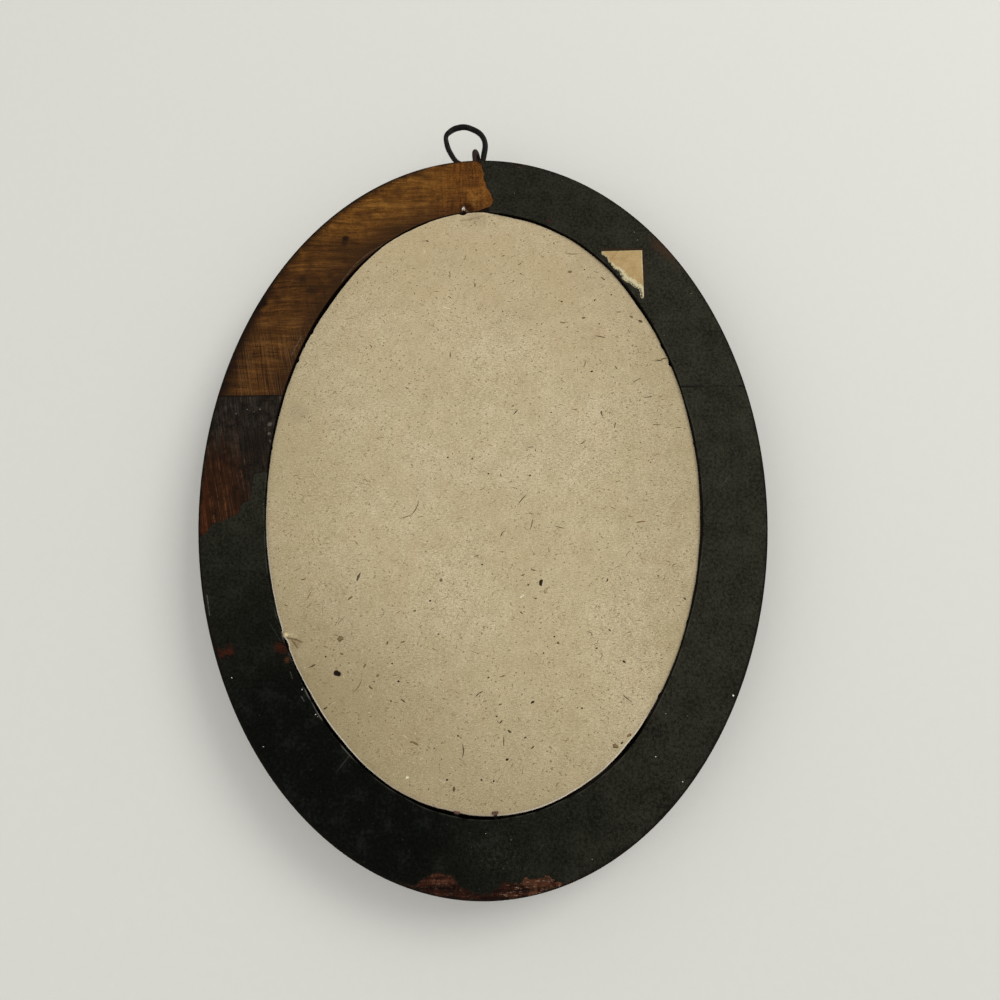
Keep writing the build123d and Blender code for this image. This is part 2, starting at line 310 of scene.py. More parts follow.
def many_capped(rings):
    """Skins and flat ends of many small closed bodies at once, from (bodies, rings, sides, 3)."""
    bodies, sections, sides = rings.shape[:3]
    first = np.arange(bodies)[:, None, None] * sections * sides
    i, j = np.arange(sections - 1)[None, :, None] * sides, np.arange(sides)[None, None, :]
    a, b = first + i + j, first + i + (j + 1) % sides
    skin = np.stack([a, b, b + sides, a + sides], -1).reshape(-1, 4)
    end = first[:, 0] + np.arange(sides)
    return [skin, end[:, ::-1], end + (sections - 1) * sides]


def walked(line):
    """Length walked at each point of a line."""
    return np.r_[0, np.cumsum(np.linalg.norm(np.diff(line, axis=0), axis=1))]


def along_line(places, length, line):
    """Points of a line in a plane at the places given as lengths walked."""
    return np.stack([np.interp(places, length, line[:, k]) for k in (0, 1)], -1)


def bell(away, reach):
    """1 at no distance, and about a third at the reach."""
    return np.exp(-(away / reach) ** 2)


def rough_line(places, seed, longest, height, shortest=0.3):
    """Ragged heights along a line: random heights at even steps, joined smoothly, added up over
    steps that halve from the longest to the shortest, each with a little over half the height."""
    chance = np.random.default_rng(seed)
    total, step = np.zeros_like(places), longest
    while step >= shortest:
        knots = chance.uniform(-1, 1, int(np.ptp(places) / step) + 3)
        at = (places - places.min()) / step
        i = at.astype(int)
        share = at - i
        share = share * share * (3 - 2 * share)
        total += height * (knots[i] * (1 - share) + knots[i + 1] * share)
        step, height = step / 2, height * 0.56
    return total


def rough_sheet(x, z, seed, lump, height, layers=3):
    """Soft lumps over a sheet: sums of slanted waves of random headings, halved in size by layer."""
    chance = np.random.default_rng(seed)
    total = np.zeros_like(x)
    for _ in range(layers):
        for _ in range(7):
            heading, start = chance.uniform(0, 2 * np.pi, 2)
            run = 2 * np.pi / (lump * chance.uniform(0.7, 1.4))
            total += height / 3 * np.sin((x * np.cos(heading) + z * np.sin(heading)) * run + start)
        lump, height = lump / 2.1, height * 0.5
    return total


# ---- backing paper

# Tears, as (inset from the outer edge in mm, turn in degrees from +X towards +Z)
TOP_TEAR = (
    (0, 90.3), (2.1, 90.3), (6, 90.8), (9, 91.3), (11.7, 91.9), (13.9, 93), (15, 93.6), (16.5, 93.4),
    (18, 92.5), (19.3, 92), (20, 91.8))
SIDE_TEAR = (
    (0, 352.6), (0.7, 352.8), (2.5, 353), (4.2, 354.6), (9, 355.1), (12.1, 355.8), (12.5, 357.2),
    (15.2, 358.1), (15.9, 362.6), (19.6, 363.1))
# Outer edge with its worn places, as (turn, inset)
WORN_EDGE = (
    (90, 0.45), (96.6, 0.45), (98, 1), (99.4, 1.15), (100.4, 0.5), (102.4, 0.45), (128, 0.5), (131.5, 0.55),
    (134.5, 0.6), (137.5, 0.5), (140, 0.5), (200, 0.45), (255.6, 0.5), (256.1, 0.8), (256.9, 2.7),
    (258.6, 3.6), (260.7, 4.1), (263.4, 4.3), (266.1, 4.2), (268.7, 2.9), (269.3, 2.2), (271.5, 2.2),
    (273, 2.6), (275, 3.6), (277.3, 6), (278.3, 6.1), (280.2, 5.5), (282.3, 2.6), (284, 0.8), (284.8, 0.5),
    (306, 0.45), (330, 0.5), (334, 0.9), (336, 1.3), (337.5, 0.6), (363.5, 0.45))
# How far the inner edge hangs over the rebate, or stands back from it, as (turn, mm)
INNER_EDGE = (
    (88, -0.1), (90, 0.1), (95, 0.15), (100, 0.25), (110, 0.2), (118, 0), (125, -0.1), (140, -0.25),
    (152, -0.15), (162, -0.12), (172, -0.32), (185, -0.5), (192, -0.55), (204, -0.35), (212, -0.3),
    (222, -0.6), (230, -0.9), (236, -0.9), (244, -0.55), (250, -0.1), (258, 0.2), (266, 0.45), (272, 0.45),
    (280, 0.65), (290, 0.8), (300, 0.75), (310, 0.52), (320, 0.45), (330, 0.22), (336, 0.05), (342, -0.1),
    (352, -0.1), (364, 0))
PAPER_OUTER_INSET, PAPER_INNER_INSET = 0.45, 19.8
PAPER_TOP, PAPER_BOTTOM = -0.05, -0.32
PAPER_SPAN = 268.2  # degrees from the top tear round to the side tear
WORN_SPAN = (165.0, 196.0)  # degrees past the top tear where the edge is worn most
TEAR_REACH = 9.0  # mm from a tear at which its mark stops counting
LEFT_JOINT, RIGHT_JOINT = 31.1, 29.8  # heights of the upper joints of the rail


def make_backing_paper(material):
    """Dark paper on the back of the rail. A point lies at an inset and a turn on the nested ovals:
    the inset runs from the worn outer edge to the inner edge, and the turn from the top tear to
    the side tear, both of which wander with the inset. The skin is a loop over and under."""
    rows = 110
    share = np.r_[0.0, 0.004, np.linspace(0.012, 0.988, rows - 4), 0.996, 1.0]
    spans = [(0, 1.2, 0.12), (1.2, 6, 0.4), (6, 262, 1.0), (262, 267, 0.4), (267, PAPER_SPAN, 0.12)]
    turns = np.concatenate([np.arange(*span) for span in spans] + [[PAPER_SPAN]])
    dense = np.arange(*WORN_SPAN, 0.16)
    turns = np.sort(np.r_[turns[(turns < dense[0] - 0.1) | (turns > dense[-1] + 0.1)], dense])
    nominal = PAPER_OUTER_INSET + share * (PAPER_INNER_INSET - PAPER_OUTER_INSET)
    start = np.interp(nominal, *zip(*TOP_TEAR)) + rough_line(nominal, 11, 2.4, 0.26, 0.2)
    stop = np.interp(nominal, *zip(*SIDE_TEAR)) + rough_line(nominal, 12, 2.0, 0.20, 0.2)
    turn = start[:, None] + (turns / PAPER_SPAN)[None, :] * (stop - start)[:, None]
    wander = rough_line(turn[0] * 1.6, 13, 6.0, 0.10, 0.35)
    outer = np.interp(turn, *zip(*WORN_EDGE))
    worn = np.clip((outer - 0.5) / 1.5, 0, 1)
    outer = outer + worn * rough_line(turn[0] * 1.9, 14, 2.6, 0.62, 0.3) + 0.25 * np.abs(wander)
    inner = PAPER_INNER_INSET + np.interp(turn, *zip(*INNER_EDGE))
    inner = inner + 0.10 * rough_line(turn[0] * 1.5, 15, 8.0, 1.0, 0.4)
    inset = outer + share[:, None] * (inner - outer)
    x = (HALF_WIDTH - inset) * np.cos(np.radians(turn))
    z = (HALF_HEIGHT - inset) * np.sin(np.radians(turn))

    low = (turn[0] > 255.8) & (turn[0] < 284.5)
    torn_x, torn_z = (np.r_[v[:, 0], v[:, -1], v[0, low]] for v in (x, z))
    tear = np.empty_like(x)
    for k in range(rows):
        gap = np.hypot(x[k][:, None] - torn_x, z[k][:, None] - torn_z)
        tear[k] = np.minimum(gap.min(1), TEAR_REACH)
    side = np.minimum(share[:, None], 1 - share[:, None]) * (inner - outer)
    top = PAPER_TOP + rough_sheet(x, z, 21, 14.0, 0.02) + rough_sheet(x, z, 22, 2.2, 0.006)
    top = top + 0.10 * bell(tear - 0.9, 0.7) * (0.5 + 0.5 * rough_sheet(x, z, 23, 5.0, 0.8))
    edge = np.minimum(tear / 0.35, side / 0.10)
    top = PAPER_BOTTOM + 0.03 + (top - PAPER_BOTTOM - 0.03) * np.clip(edge, 0, 1) ** 0.6
    top = top - 0.05 * bell(z - LEFT_JOINT, 0.5) * (x < 0)
    below = np.stack([x, np.full_like(x, PAPER_BOTTOM), z], -1)
    loop = np.concatenate([np.stack([x, top, z], -1), below[::-1]])
    count, columns = loop.shape[:2]
    i = np.arange(rows - 1)
    end = np.stack([i, i + 1, count - 2 - i, count - 1 - i], -1) * columns
    from_inner = (1 - share[:, None]) * (inner - outer)
    marks = {"tear": np.concatenate([tear, tear[::-1]]),
             "inner_rim": np.concatenate([from_inner, from_inner[::-1]])}
    make_piece("torn_backing_paper", loop, [quads(loop, wrap_rows=True), end[:, ::-1], end + columns - 1],
               material, ("backing_paper",), marks, sharp=50)


# ---- backing board

BOARD_FRONT, BOARD_BACK = -3.3, -1.1
BOARD_DENT, BOARD_FLAP, UNDER_FLAP = (5.0, 92.6), (56.9, -43.4), (55.6, -44.5)  # places on its back
BOARD_BURR = 207  # turn of the roughest stretch of its edge, in degrees from -X towards +Z
REBATE = (65.2, 93.7)  # half axes of the oval that the board lies in
# How far the board's edge stands inside that oval, by turn from -X towards +Z, every 10 degrees
BOARD_GAPS = (
    -0.05, 0.08, 0.12, 0.2, 0.47, 0.02, 0.22, 0.47, 0.68, -0.05, 0.1, 0.35, 0.25, 0.47, 0.86, 0.41, 0.25,
    0.18, 0.13, -0.05, 0, 0.18, 0.84, 1.16, 1.03, 1.06, 1.45, 1.07, 0.62, 0.39, -0.05, -0.1, -0.1, -0.1, -0.1,
    -0.1)
# Nicks in the edge, as (turn, half width in degrees, depth in mm)
BOARD_NICKS = (
    (24.8, 0.5, 0.45), (29, 0.5, 0.25), (153.4, 0.4, 0.4), (150, 0.3, 0.2), (146.5, 0.4, 0.3),
    (-41, 0.5, 0.3), (207.4, 0.6, -0.5), (209.4, 0.9, 0.35), (95.3, 0.9, 0.55), (262.9, 0.5, 0.3),
    (334, 0.3, 0.2), (8, 0.3, 0.2), (172, 0.3, 0.2))


def board_outline(count):
    """The board's edge: the rebate's oval less the gap, with nicks and the fuzz of a knife cut."""
    turn = np.arange(count) * 2 * np.pi / count
    degrees = np.degrees(turn)
    gap = np.interp(degrees, np.arange(37) * 10.0, BOARD_GAPS + BOARD_GAPS[:1])
    fuzz = rough_line(np.r_[degrees, 360.0] * 1.4, 31, 5.0, 0.07, 0.35)
    fuzz = (fuzz - fuzz[0] - (fuzz[-1] - fuzz[0]) * np.linspace(0, 1, count + 1))[:-1]
    for place, half, depth in BOARD_NICKS:
        away = (degrees - place + 180) % 360 - 180
        gap = gap + depth * np.exp(-(away / half) ** 4)
    gap = gap + fuzz
    return -(REBATE[0] - gap) * np.cos(turn), (REBATE[1] - gap) * np.sin(turn), degrees


def board_swell(x, z):
    """How the board's back rises and falls: long soft waves."""
    return rough_sheet(x, z, 32, 46.0, 0.03, 1)


def board_lip(degrees, depth):
    """How far the rim stands up along the top, by turn from -X and by depth from the edge."""
    span = np.clip((degrees - 84) / 5, 0, 1) * np.clip((132 - degrees) / 12, 0, 1)
    return 0.68 * span * bell(depth, 3.0)


def make_backing_board(material):
    """Flecked board: rings of its edge line shrunk towards the middle, over the top, round the
    cut edge and back underneath. The cut edge is rounded, with a little burr that the knife left,
    a dent at the top, a raised flap at the lower left of the page, and the top is slightly wavy."""
    edge_x, edge_z, degrees = board_outline(1300)
    inside = np.r_[0.0, 0.06, 0.16, 0.3, 0.5, 0.8, 1.3, 2.0, 3.0, 4.5, np.linspace(6, 62, 52)]
    reach = np.hypot(edge_x, edge_z)
    ripple = 0.5 + 0.5 * np.sin(degrees / 2.3) * np.sin(degrees / 7.1)
    rings, rim = [], []
    for depth in inside[::-1]:
        share = np.maximum(1 - depth / reach * (1 if depth < 8 else reach / 65.0), 0.02)
        x, z = edge_x * share, edge_z * share
        burr = 0.16 * bell(degrees - BOARD_BURR, 5) * bell(depth, 0.7) + 0.05 * bell(depth, 0.4) * ripple
        dent = -0.30 * bell(np.hypot(x - BOARD_DENT[0], z - BOARD_DENT[1]), 1.6)
        flap = 0.25 * bell(np.hypot(x - BOARD_FLAP[0], z - BOARD_FLAP[1]), 0.8)
        under_flap = -0.25 * bell(np.hypot(x - UNDER_FLAP[0], (z - UNDER_FLAP[1]) * 1.6), 1.0)
        top = BOARD_BACK + board_swell(x, z) + burr + dent + board_lip(degrees, depth)
        top = top - 0.22 * np.exp(-(depth / 0.12)) + flap + under_flap
        rings.append(np.stack([x, top, z], -1))
        rim.append(np.full_like(x, depth))
    for depth, y in ((0.04, BOARD_BACK - 0.9), (0.0, BOARD_FRONT + 0.2), (0.15, BOARD_FRONT),
                     (20.0, BOARD_FRONT), (60.0, BOARD_FRONT)):
        share = np.maximum(1 - depth / reach, 0.02)
        rings.append(np.stack([edge_x * share, np.full_like(edge_x, y), edge_z * share], -1))
        rim.append(np.full_like(edge_x, depth))
    points, faces = capped(np.array(rings))
    marks = {"rim": np.r_[np.array(rim).ravel(), 60.0, 60.0]}
    make_piece("flecked_backing_board", points, faces, material, ("backing_board",), marks, sharp=60)


# Larger flecks in the board, as (x, z, length, heading in degrees, width, tone 0 dark to 1 pale)
FLECKS = (
    (18.4, 83.6, 2.2, 175, 0.3, 0.25), (17.6, 83.4, 0.9, 20, 0.35, 0.3), (1.7, 80.1, 0.8, 30, 0.2, 0.1),
    (-3.2, 85.2, 0.5, 10, 0.28, 0.05), (10.2, 71.1, 2.2, 92, 0.16, 0.2), (2.1, 67.4, 1.3, 100, 0.45, 0.45),
    (10.2, 63.2, 1.2, 40, 0.2, 0.1), (11.4, 59.4, 2.4, 20, 0.35, 1), (-6.7, 57.9, 0.6, 70, 0.3, 0.05),
    (35.1, 46.5, 1.2, 60, 0.22, 0.2), (10.1, 43.1, 2, 88, 0.16, 0.15), (23.5, 32.1, 1, 20, 0.24, 0.1),
    (-7.1, 77.8, 1, 160, 0.2, 0.2), (-12.5, 74.8, 1.4, 150, 0.18, 0.2), (-12.8, 71.2, 0.9, 35, 0.22, 0.15),
    (-10.2, 68.7, 1, 110, 0.2, 0.2), (-23.8, 82, 0.8, 60, 0.22, 0.1), (23, -8.9, 4, 162, 0.18, 0.4),
    (20, -6.2, 4.2, 118, 0.2, 0.3), (-10.3, 23.9, 1.6, 130, 0.26, 0.05), (-9.4, 25.8, 0.7, 160, 0.3, 0.2),
    (-21.2, 23.5, 0.5, 0, 0.4, 0.15), (-36.7, 22.9, 2, 65, 0.3, 0.1), (-51.5, 28.2, 2.4, 172, 0.2, 0.05),
    (-30.6, 13.6, 2, 145, 0.2, 0.1), (-14.6, 12.4, 1.5, 175, 0.2, 0.15), (-16, 11.4, 0.8, 80, 0.25, 0.2),
    (10.7, 9.4, 0.5, 0, 0.42, 0), (3.2, 8.9, 0.6, 0, 0.5, 0.3), (-1.6, 4.1, 0.5, 0, 0.4, 0),
    (-14.2, 3.4, 0.7, 0, 0.5, 0.2), (-11.6, -4, 3.8, 128, 0.16, 0.3), (-46.8, -11.3, 3, 170, 0.35, 0.5),
    (-22.7, -12.7, 3, 15, 0.14, 0.3), (-5.4, -14.5, 1.8, 115, 0.22, 0.05), (-14.4, -11.7, 3, 105, 0.14, 0.3),
    (0.5, -23.6, 0.5, 0, 0.4, 0.05), (-14.6, -25.4, 1.5, 15, 0.2, 0.2), (-11.5, -26.8, 1, 160, 0.35, 0.35),
    (-16.6, -29.1, 1.9, 92, 0.75, 0), (-36.1, -28.7, 1, 120, 0.35, 0.1), (-51.1, -27.6, 0.5, 0, 0.4, 0.1),
    (2, -21, 1.2, 170, 0.3, 0.35), (12.5, -28.1, 0.8, 0, 0.6, 0.4), (-40.7, 19.1, 2, 105, 0.15, 0.15),
    (-11, -33.1, 1.6, 150, 0.7, 1), (36.7, -26.7, 2.4, 110, 0.55, 0.2), (38.9, -32.9, 1.5, 140, 0.5, 0.4),
    (15.6, -34, 0.6, 0, 0.45, 0), (41.3, -44.5, 1.7, 170, 1.2, 0.4), (45.3, -49.5, 0.5, 0, 0.4, 0.05),
    (49, -52.1, 1.9, 155, 0.35, 0.25), (24.4, -56.6, 0.6, 0, 0.45, 0), (31.3, -56.6, 0.4, 0, 0.3, 0.1),
    (30.3, -54.9, 0.9, 150, 0.5, 0.45), (32.2, -58.3, 1.2, 30, 0.3, 0.2), (35.8, -58.1, 4.2, 130, 0.12, 0.35),
    (44.7, -63.7, 1.3, 155, 0.35, 0.2), (1.6, -60.2, 2.6, 142, 0.22, 0.05), (7.5, -71.6, 0.5, 0, 0.4, 0.05),
    (14.1, -74.8, 0.4, 0, 0.3, 0.1), (6, -75.4, 3.6, 92, 0.24, 0.2), (19.6, -73.3, 2.4, 25, 0.5, 0.4),
    (10.5, -83.1, 0.6, 0, 0.45, 0.05), (1.1, -83.2, 0.5, 0, 0.4, 0.1), (-2.3, -83.6, 0.5, 0, 0.42, 0),
    (21.5, -82.4, 0.9, 0, 0.8, 1), (8.6, -85.5, 1.3, 105, 0.5, 0.25), (-1.1, -55.9, 0.6, 0, 0.45, 0.2),
    (13.2, -43.6, 0.5, 0, 0.4, 0.2), (23.4, -45.7, 1.2, 175, 0.35, 0.3), (27.8, -45.8, 1, 100, 0.35, 0.25),
    (26.3, -51.7, 0.6, 0, 0.35, 0.15), (20.1, -36.8, 0.8, 0, 0.5, 0.35), (50.9, -32.1, 2.6, 115, 0.14, 0.5),
    (52.7, -27.3, 1.6, 175, 0.2, 0.3), (12.5, -28, 1, 100, 0.4, 0.3), (23, -61.9, 1.6, 35, 0.3, 0.25),
    (40.8, -48.8, 1, 20, 0.3, 0.3), (34.1, -52.2, 1.2, 120, 0.4, 0.35), (-13, -29.7, 0.7, 140, 0.3, 0.15),
    (-58.4, -34.3, 0.9, 40, 0.4, 0.25), (-10.8, -37.8, 0.9, 40, 0.3, 0.15), (-39.8, -52, 1, 35, 0.42, 0),
    (-16.9, -49.3, 0.5, 0, 0.35, 0.05), (-20.1, -44.7, 0.5, 0, 0.38, 0.05), (-21.2, -46.5, 0.8, 30, 0.5, 0.3),
    (-32.1, -48.1, 0.7, 160, 0.35, 0.15), (-5.1, -55.6, 1.6, 165, 0.2, 0.25),
    (-13.4, -62.8, 1.1, 148, 0.5, 0), (-40.2, -62.2, 3, 38, 0.16, 0.25), (-6.8, -70.6, 1.2, 30, 0.45, 0.1),
    (-3.3, -66.5, 0.6, 0, 0.4, 0.1), (-4.5, -68, 1.1, 135, 0.35, 0.25), (-5.2, -73.1, 2.6, 92, 0.16, 0.3),
    (-6.1, -78, 0.8, 160, 0.5, 0), (-36.2, -74.9, 1.6, 20, 1, 0.4), (-38.1, -74, 0.8, 140, 0.4, 0.1),
    (-27.3, -64.6, 0.6, 0, 0.4, 0.2), (-11.2, -72.3, 0.8, 160, 0.4, 0.25),
    (-13.2, -74.9, 1.1, 140, 0.35, 0.3), (-36.1, -43.1, 0.8, 30, 0.4, 0.25), (-4.4, -63.3, 1, 165, 0.3, 0.3),
    (-15, -33.7, 0.8, 20, 0.3, 0.25), (-40.2, -72, 1.4, 150, 0.6, 0.5), (-39.3, 69.2, 1.7, 40, 0.3, 0.1),
    (-33.5, 72.5, 0.5, 0, 0.4, 0.15), (-28.7, 71.8, 1.4, 170, 0.6, 0.4), (-29.8, 78.2, 4.6, 0, 0.14, 0.4),
    (-25.7, 61.2, 0.6, 0, 0.42, 0.05), (-36.3, 61.6, 0.8, 120, 0.3, 0.1), (-41.7, 63.4, 0.7, 160, 0.35, 0.2),
    (-43.9, 57.3, 1.5, 177, 0.3, 0.1), (-47.7, 55.6, 1.2, 25, 0.5, 0.4), (-50.5, 54, 1.4, 30, 0.7, 0.25),
    (-37.6, 48.8, 3, 14, 0.2, 0.15), (-25.8, 53.7, 1.7, 0, 0.24, 0.15), (-32.3, 39.5, 2.2, 108, 0.18, 0.3),
    (-34.3, 37, 0.9, 155, 0.4, 0), (-42, 38.2, 1.5, 55, 0.25, 0.2), (-48.3, 33.9, 2.8, 150, 0.14, 0.35),
    (-55.6, 40.4, 2.6, 6, 0.26, 0.1), (-57.1, 41, 2, 160, 0.3, 0.3), (-53.6, 19.2, 2.6, 0, 0.12, 0.4),
    (-37.4, 53.2, 0.5, 0, 0.35, 0.1), (-32.5, 55.4, 1.2, 170, 0.5, 0.4), (-28.5, 24.4, 1.5, 172, 0.16, 0.35),
    (-27.2, 52.2, 0.6, 0, 0.3, 0.2))
FIBRES, NEEDLE_RINGS = 3800, 7
FIBRE_OVAL = (63.8, 92.2)  # half axes that the fine fibres keep within, a hair inside the board's edge
TONES, TONE_SHARES = (0.08, 0.28, 0.45, 0.62, 0.95), (0.03, 0.20, 0.15, 0.38, 0.24)


def make_board_fibres(material):
    """Hairs and specks in the board's skin: bent needles of three sides that taper at both ends.
    A needle runs along an arc from its middle, with a length, heading, bend and width of its own."""
    chance = np.random.default_rng(41)
    radius, turn = np.sqrt(chance.uniform(0, 1, FIBRES)) * 0.985, chance.uniform(0, 2 * np.pi, FIBRES)
    x, z = radius * FIBRE_OVAL[0] * np.cos(turn), radius * FIBRE_OVAL[1] * np.sin(turn)
    size = chance.lognormal(-0.32, 0.5, FIBRES).clip(0.25, 2.6)
    heading = np.degrees(chance.normal(0, 0.75, FIBRES))
    width = chance.uniform(0.08, 0.17, FIBRES) * np.where(size < 0.6, 1.4, 1.0)
    tone = chance.choice(TONES, FIBRES, p=TONE_SHARES)
    tone = tone + chance.uniform(-0.04, 0.04, FIBRES)
    table = np.array(FLECKS).T
    table[2] *= 1.15
    table[4] = np.maximum(table[4] * 1.1, 0.25)
    table[5] = np.where(table[5] < 0.35, table[5] * 0.85, table[5])
    x, z, size, heading, width, tone = np.hstack([(x, z, size, heading, width, tone), table])
    bend = chance.normal(0, 0.8, x.size)
    run = np.linspace(-0.5, 0.5, NEEDLE_RINGS)[None, :]
    angle = np.radians(heading)[:, None] + bend[:, None] * run
    step = size[:, None] / (NEEDLE_RINGS - 1)
    line_x, line_z = np.cumsum(np.cos(angle) * step, 1), np.cumsum(np.sin(angle) * step, 1)
    middle = [NEEDLE_RINGS // 2]
    line_x, line_z = line_x - line_x[:, middle] + x[:, None], line_z - line_z[:, middle] + z[:, None]
    taper = np.maximum(1 - (2 * run) ** 2, 0.02) ** 0.6
    thick = width[:, None] * 0.62 * taper * chance.uniform(0.7, 1.2, (x.size, NEEDLE_RINGS))
    depth = (1 / np.hypot(line_x / 65.0, line_z / 93.5) - 1) * np.hypot(line_x, line_z)
    degrees = np.degrees(np.arctan2(line_z, -line_x)) % 360
    base = BOARD_BACK + board_swell(line_x, line_z) + board_lip(degrees, depth)

    def corner(side, lift):
        out = thick * side
        return np.stack([line_x - np.sin(angle) * out, base + lift, line_z + np.cos(angle) * out], -1)

    needles = np.stack([corner(-1, -0.002), corner(1, -0.002), corner(0, 0.014 + 0.12 * thick)], 2)
    make_piece("board_fibres", needles, many_capped(needles), material,
               marks={"tone": np.repeat(tone, NEEDLE_RINGS * 3)})


# ---- torn corner of the label

LABEL_CORNER = (-52.3, 78.6)
LABEL_MIDDLE = np.array([-49.0, 75.6])  # the rings of the label's edge shrink towards this point
LABEL_TORN_WAY = np.array([0.80, -0.60])  # square to the torn side, away from the label
# From the end of the top edge round the torn side to the end of the straight right edge
LABEL_TEAR = (
    (-39, 78.4), (-40, 76.7), (-40.8, 75.2), (-41.9, 73), (-43.1, 71.6), (-44.5, 70.4), (-45.7, 68.7),
    (-46.7, 67.2), (-48.1, 66), (-49.3, 65.1), (-50.7, 64.5), (-50.9, 62.7), (-51.1, 61.3), (-51.9, 61.4))


def make_label_corner(material):
    """Torn corner of a tan label: rings of its edge line shrunk towards a point near the corner.
    Two sides are cut straight; the third is torn, with a thin fringe of laid-bare fibres."""
    tear = np.array(LABEL_TEAR)
    length = walked(tear)
    places = np.linspace(0, length[-1], 420)
    fade = np.clip(np.minimum(places, places[-1] - places) / 0.8, 0, 1)
    ragged = rough_line(places, 51, 3.0, 0.42, 0.15) * fade
    torn = along_line(places, length, tear) + LABEL_TORN_WAY * ragged[:, None]
    right = np.linspace(torn[-1], LABEL_CORNER, 60)[1:-1]
    top = np.linspace(LABEL_CORNER, torn[0], 60)[:-1]
    edge = np.concatenate([torn, right, top])
    rings, gap = [], []
    for share in np.r_[0.03, np.linspace(0.1, 0.9, 26), 0.93, 0.955, 0.975, 0.99, 1.0]:
        x, z = (LABEL_MIDDLE + (edge - LABEL_MIDDLE) * share).T
        away = np.hypot(x[:, None] - torn[None, ::2, 0], z[:, None] - torn[None, ::2, 1]).min(1)
        cut = (1 - share) * np.hypot(*(edge - LABEL_MIDDLE).T)
        lift = 0.075 * np.clip(away / 1.6, 0, 1) ** 0.8 + 0.02 * np.clip(away / 0.2, 0, 1)
        lift = lift + 0.05 * bell(np.hypot(x + 51.6, z - 63.0), 1.2)
        top_y = PAPER_TOP + 0.015 + lift + rough_sheet(x, z, 52, 6.0, 0.008) - 0.05 * np.exp(-cut / 0.04)
        rings.append(np.stack([x, top_y, z], -1))
        gap.append(away)
    for share in (1.0, 0.5, 0.03):
        x, z = (LABEL_MIDDLE + (edge - LABEL_MIDDLE) * share).T
        rings.append(np.stack([x, np.full_like(x, PAPER_TOP - 0.03), z], -1))
        gap.append(np.zeros_like(x))
    points, faces = capped(np.array(rings)[:, ::-1])
    marks = {"tear": np.r_[np.array(gap)[:, ::-1].ravel(), 5.0, 5.0]}
    make_piece("torn_label_corner", points, faces, material, ("label_corner",), marks, sharp=50)


# Dust and chips that stick up from the paper and the stained wood: (x, z, size, tone 0 brown to 1 white)
SPECKS = (
    (-69.8, -61.7, 0.5, 1), (-50.5, -66.3, 0.28, 0.7), (-56.6, -67, 0.26, 0.7), (-47, -77.7, 0.32, 0.9),
    (-54, -84.3, 0.42, 1), (-11.2, 100.4, 0.26, 0.7), (-15.2, 101.6, 0.26, 0.6), (-50.1, 85.3, 0.24, 0.8),
    (-51.1, 82.4, 0.22, 0.8), (-27.1, 105.1, 0.24, 0.7), (-67.2, 62.9, 0.26, 0.8), (71.3, -55, 0.4, 1),
    (61.2, -73.7, 0.34, 0.9), (51.3, -58.5, 0.36, 1), (47.2, -65.3, 0.4, 1), (46.6, -65.9, 0.22, 0.8),
    (0, -96.7, 0.24, 0.8), (-28.4, -103.5, 0.26, 0.8), (-6.8, -98.4, 0.2, 0.7), (65.5, -4.7, 0.24, 0.7),
    (-22.3, 89.8, 0.28, 0.2), (-24.3, 88.1, 0.22, 0.2), (-12.9, 110.3, 0.5, 0.1), (-57.5, 48.5, 0.3, 0.5))
DUST_SIDES = 8


def make_paper_dust(material):
    """Grains of dust: lumps with uneven rims, each a small dome on a closed base."""
    chance = np.random.default_rng(61)
    x, z, size, tone = (column[:, None, None] for column in np.array(SPECKS).T)
    turn = np.arange(DUST_SIDES) * 2 * np.pi / DUST_SIDES
    rise = np.array([0.95, 0.6, 0.1, 0.0])[None, :, None]
    reach = np.array([0.35, 0.85, 1.0, 0.5])[None, :, None]
    uneven = 1 + 0.35 * chance.uniform(-1, 1, (len(SPECKS), 1, DUST_SIDES))
    stretch = chance.uniform(0.6, 1.0, (len(SPECKS), 1, 1))
    lean = chance.uniform(0, np.pi, (len(SPECKS), 1, 1))
    u, v = reach * uneven * np.cos(turn), reach * uneven * np.sin(turn) * stretch
    y = PAPER_TOP + size * 0.22 * rise - 0.02 + 0 * u
    domes = np.stack([x + size / 2 * (u * np.cos(lean) - v * np.sin(lean)), y,
                      z + size / 2 * (u * np.sin(lean) + v * np.cos(lean))], -1)
    make_piece("paper_dust", domes, many_capped(domes), material,
               marks={"tone": np.repeat(tone.ravel(), rise.size * DUST_SIDES)})


# ---- glass

GLASS_OVAL, GLASS_BACK, GLASS_FRONT = (64.7, 93.2), -3.94, -5.88


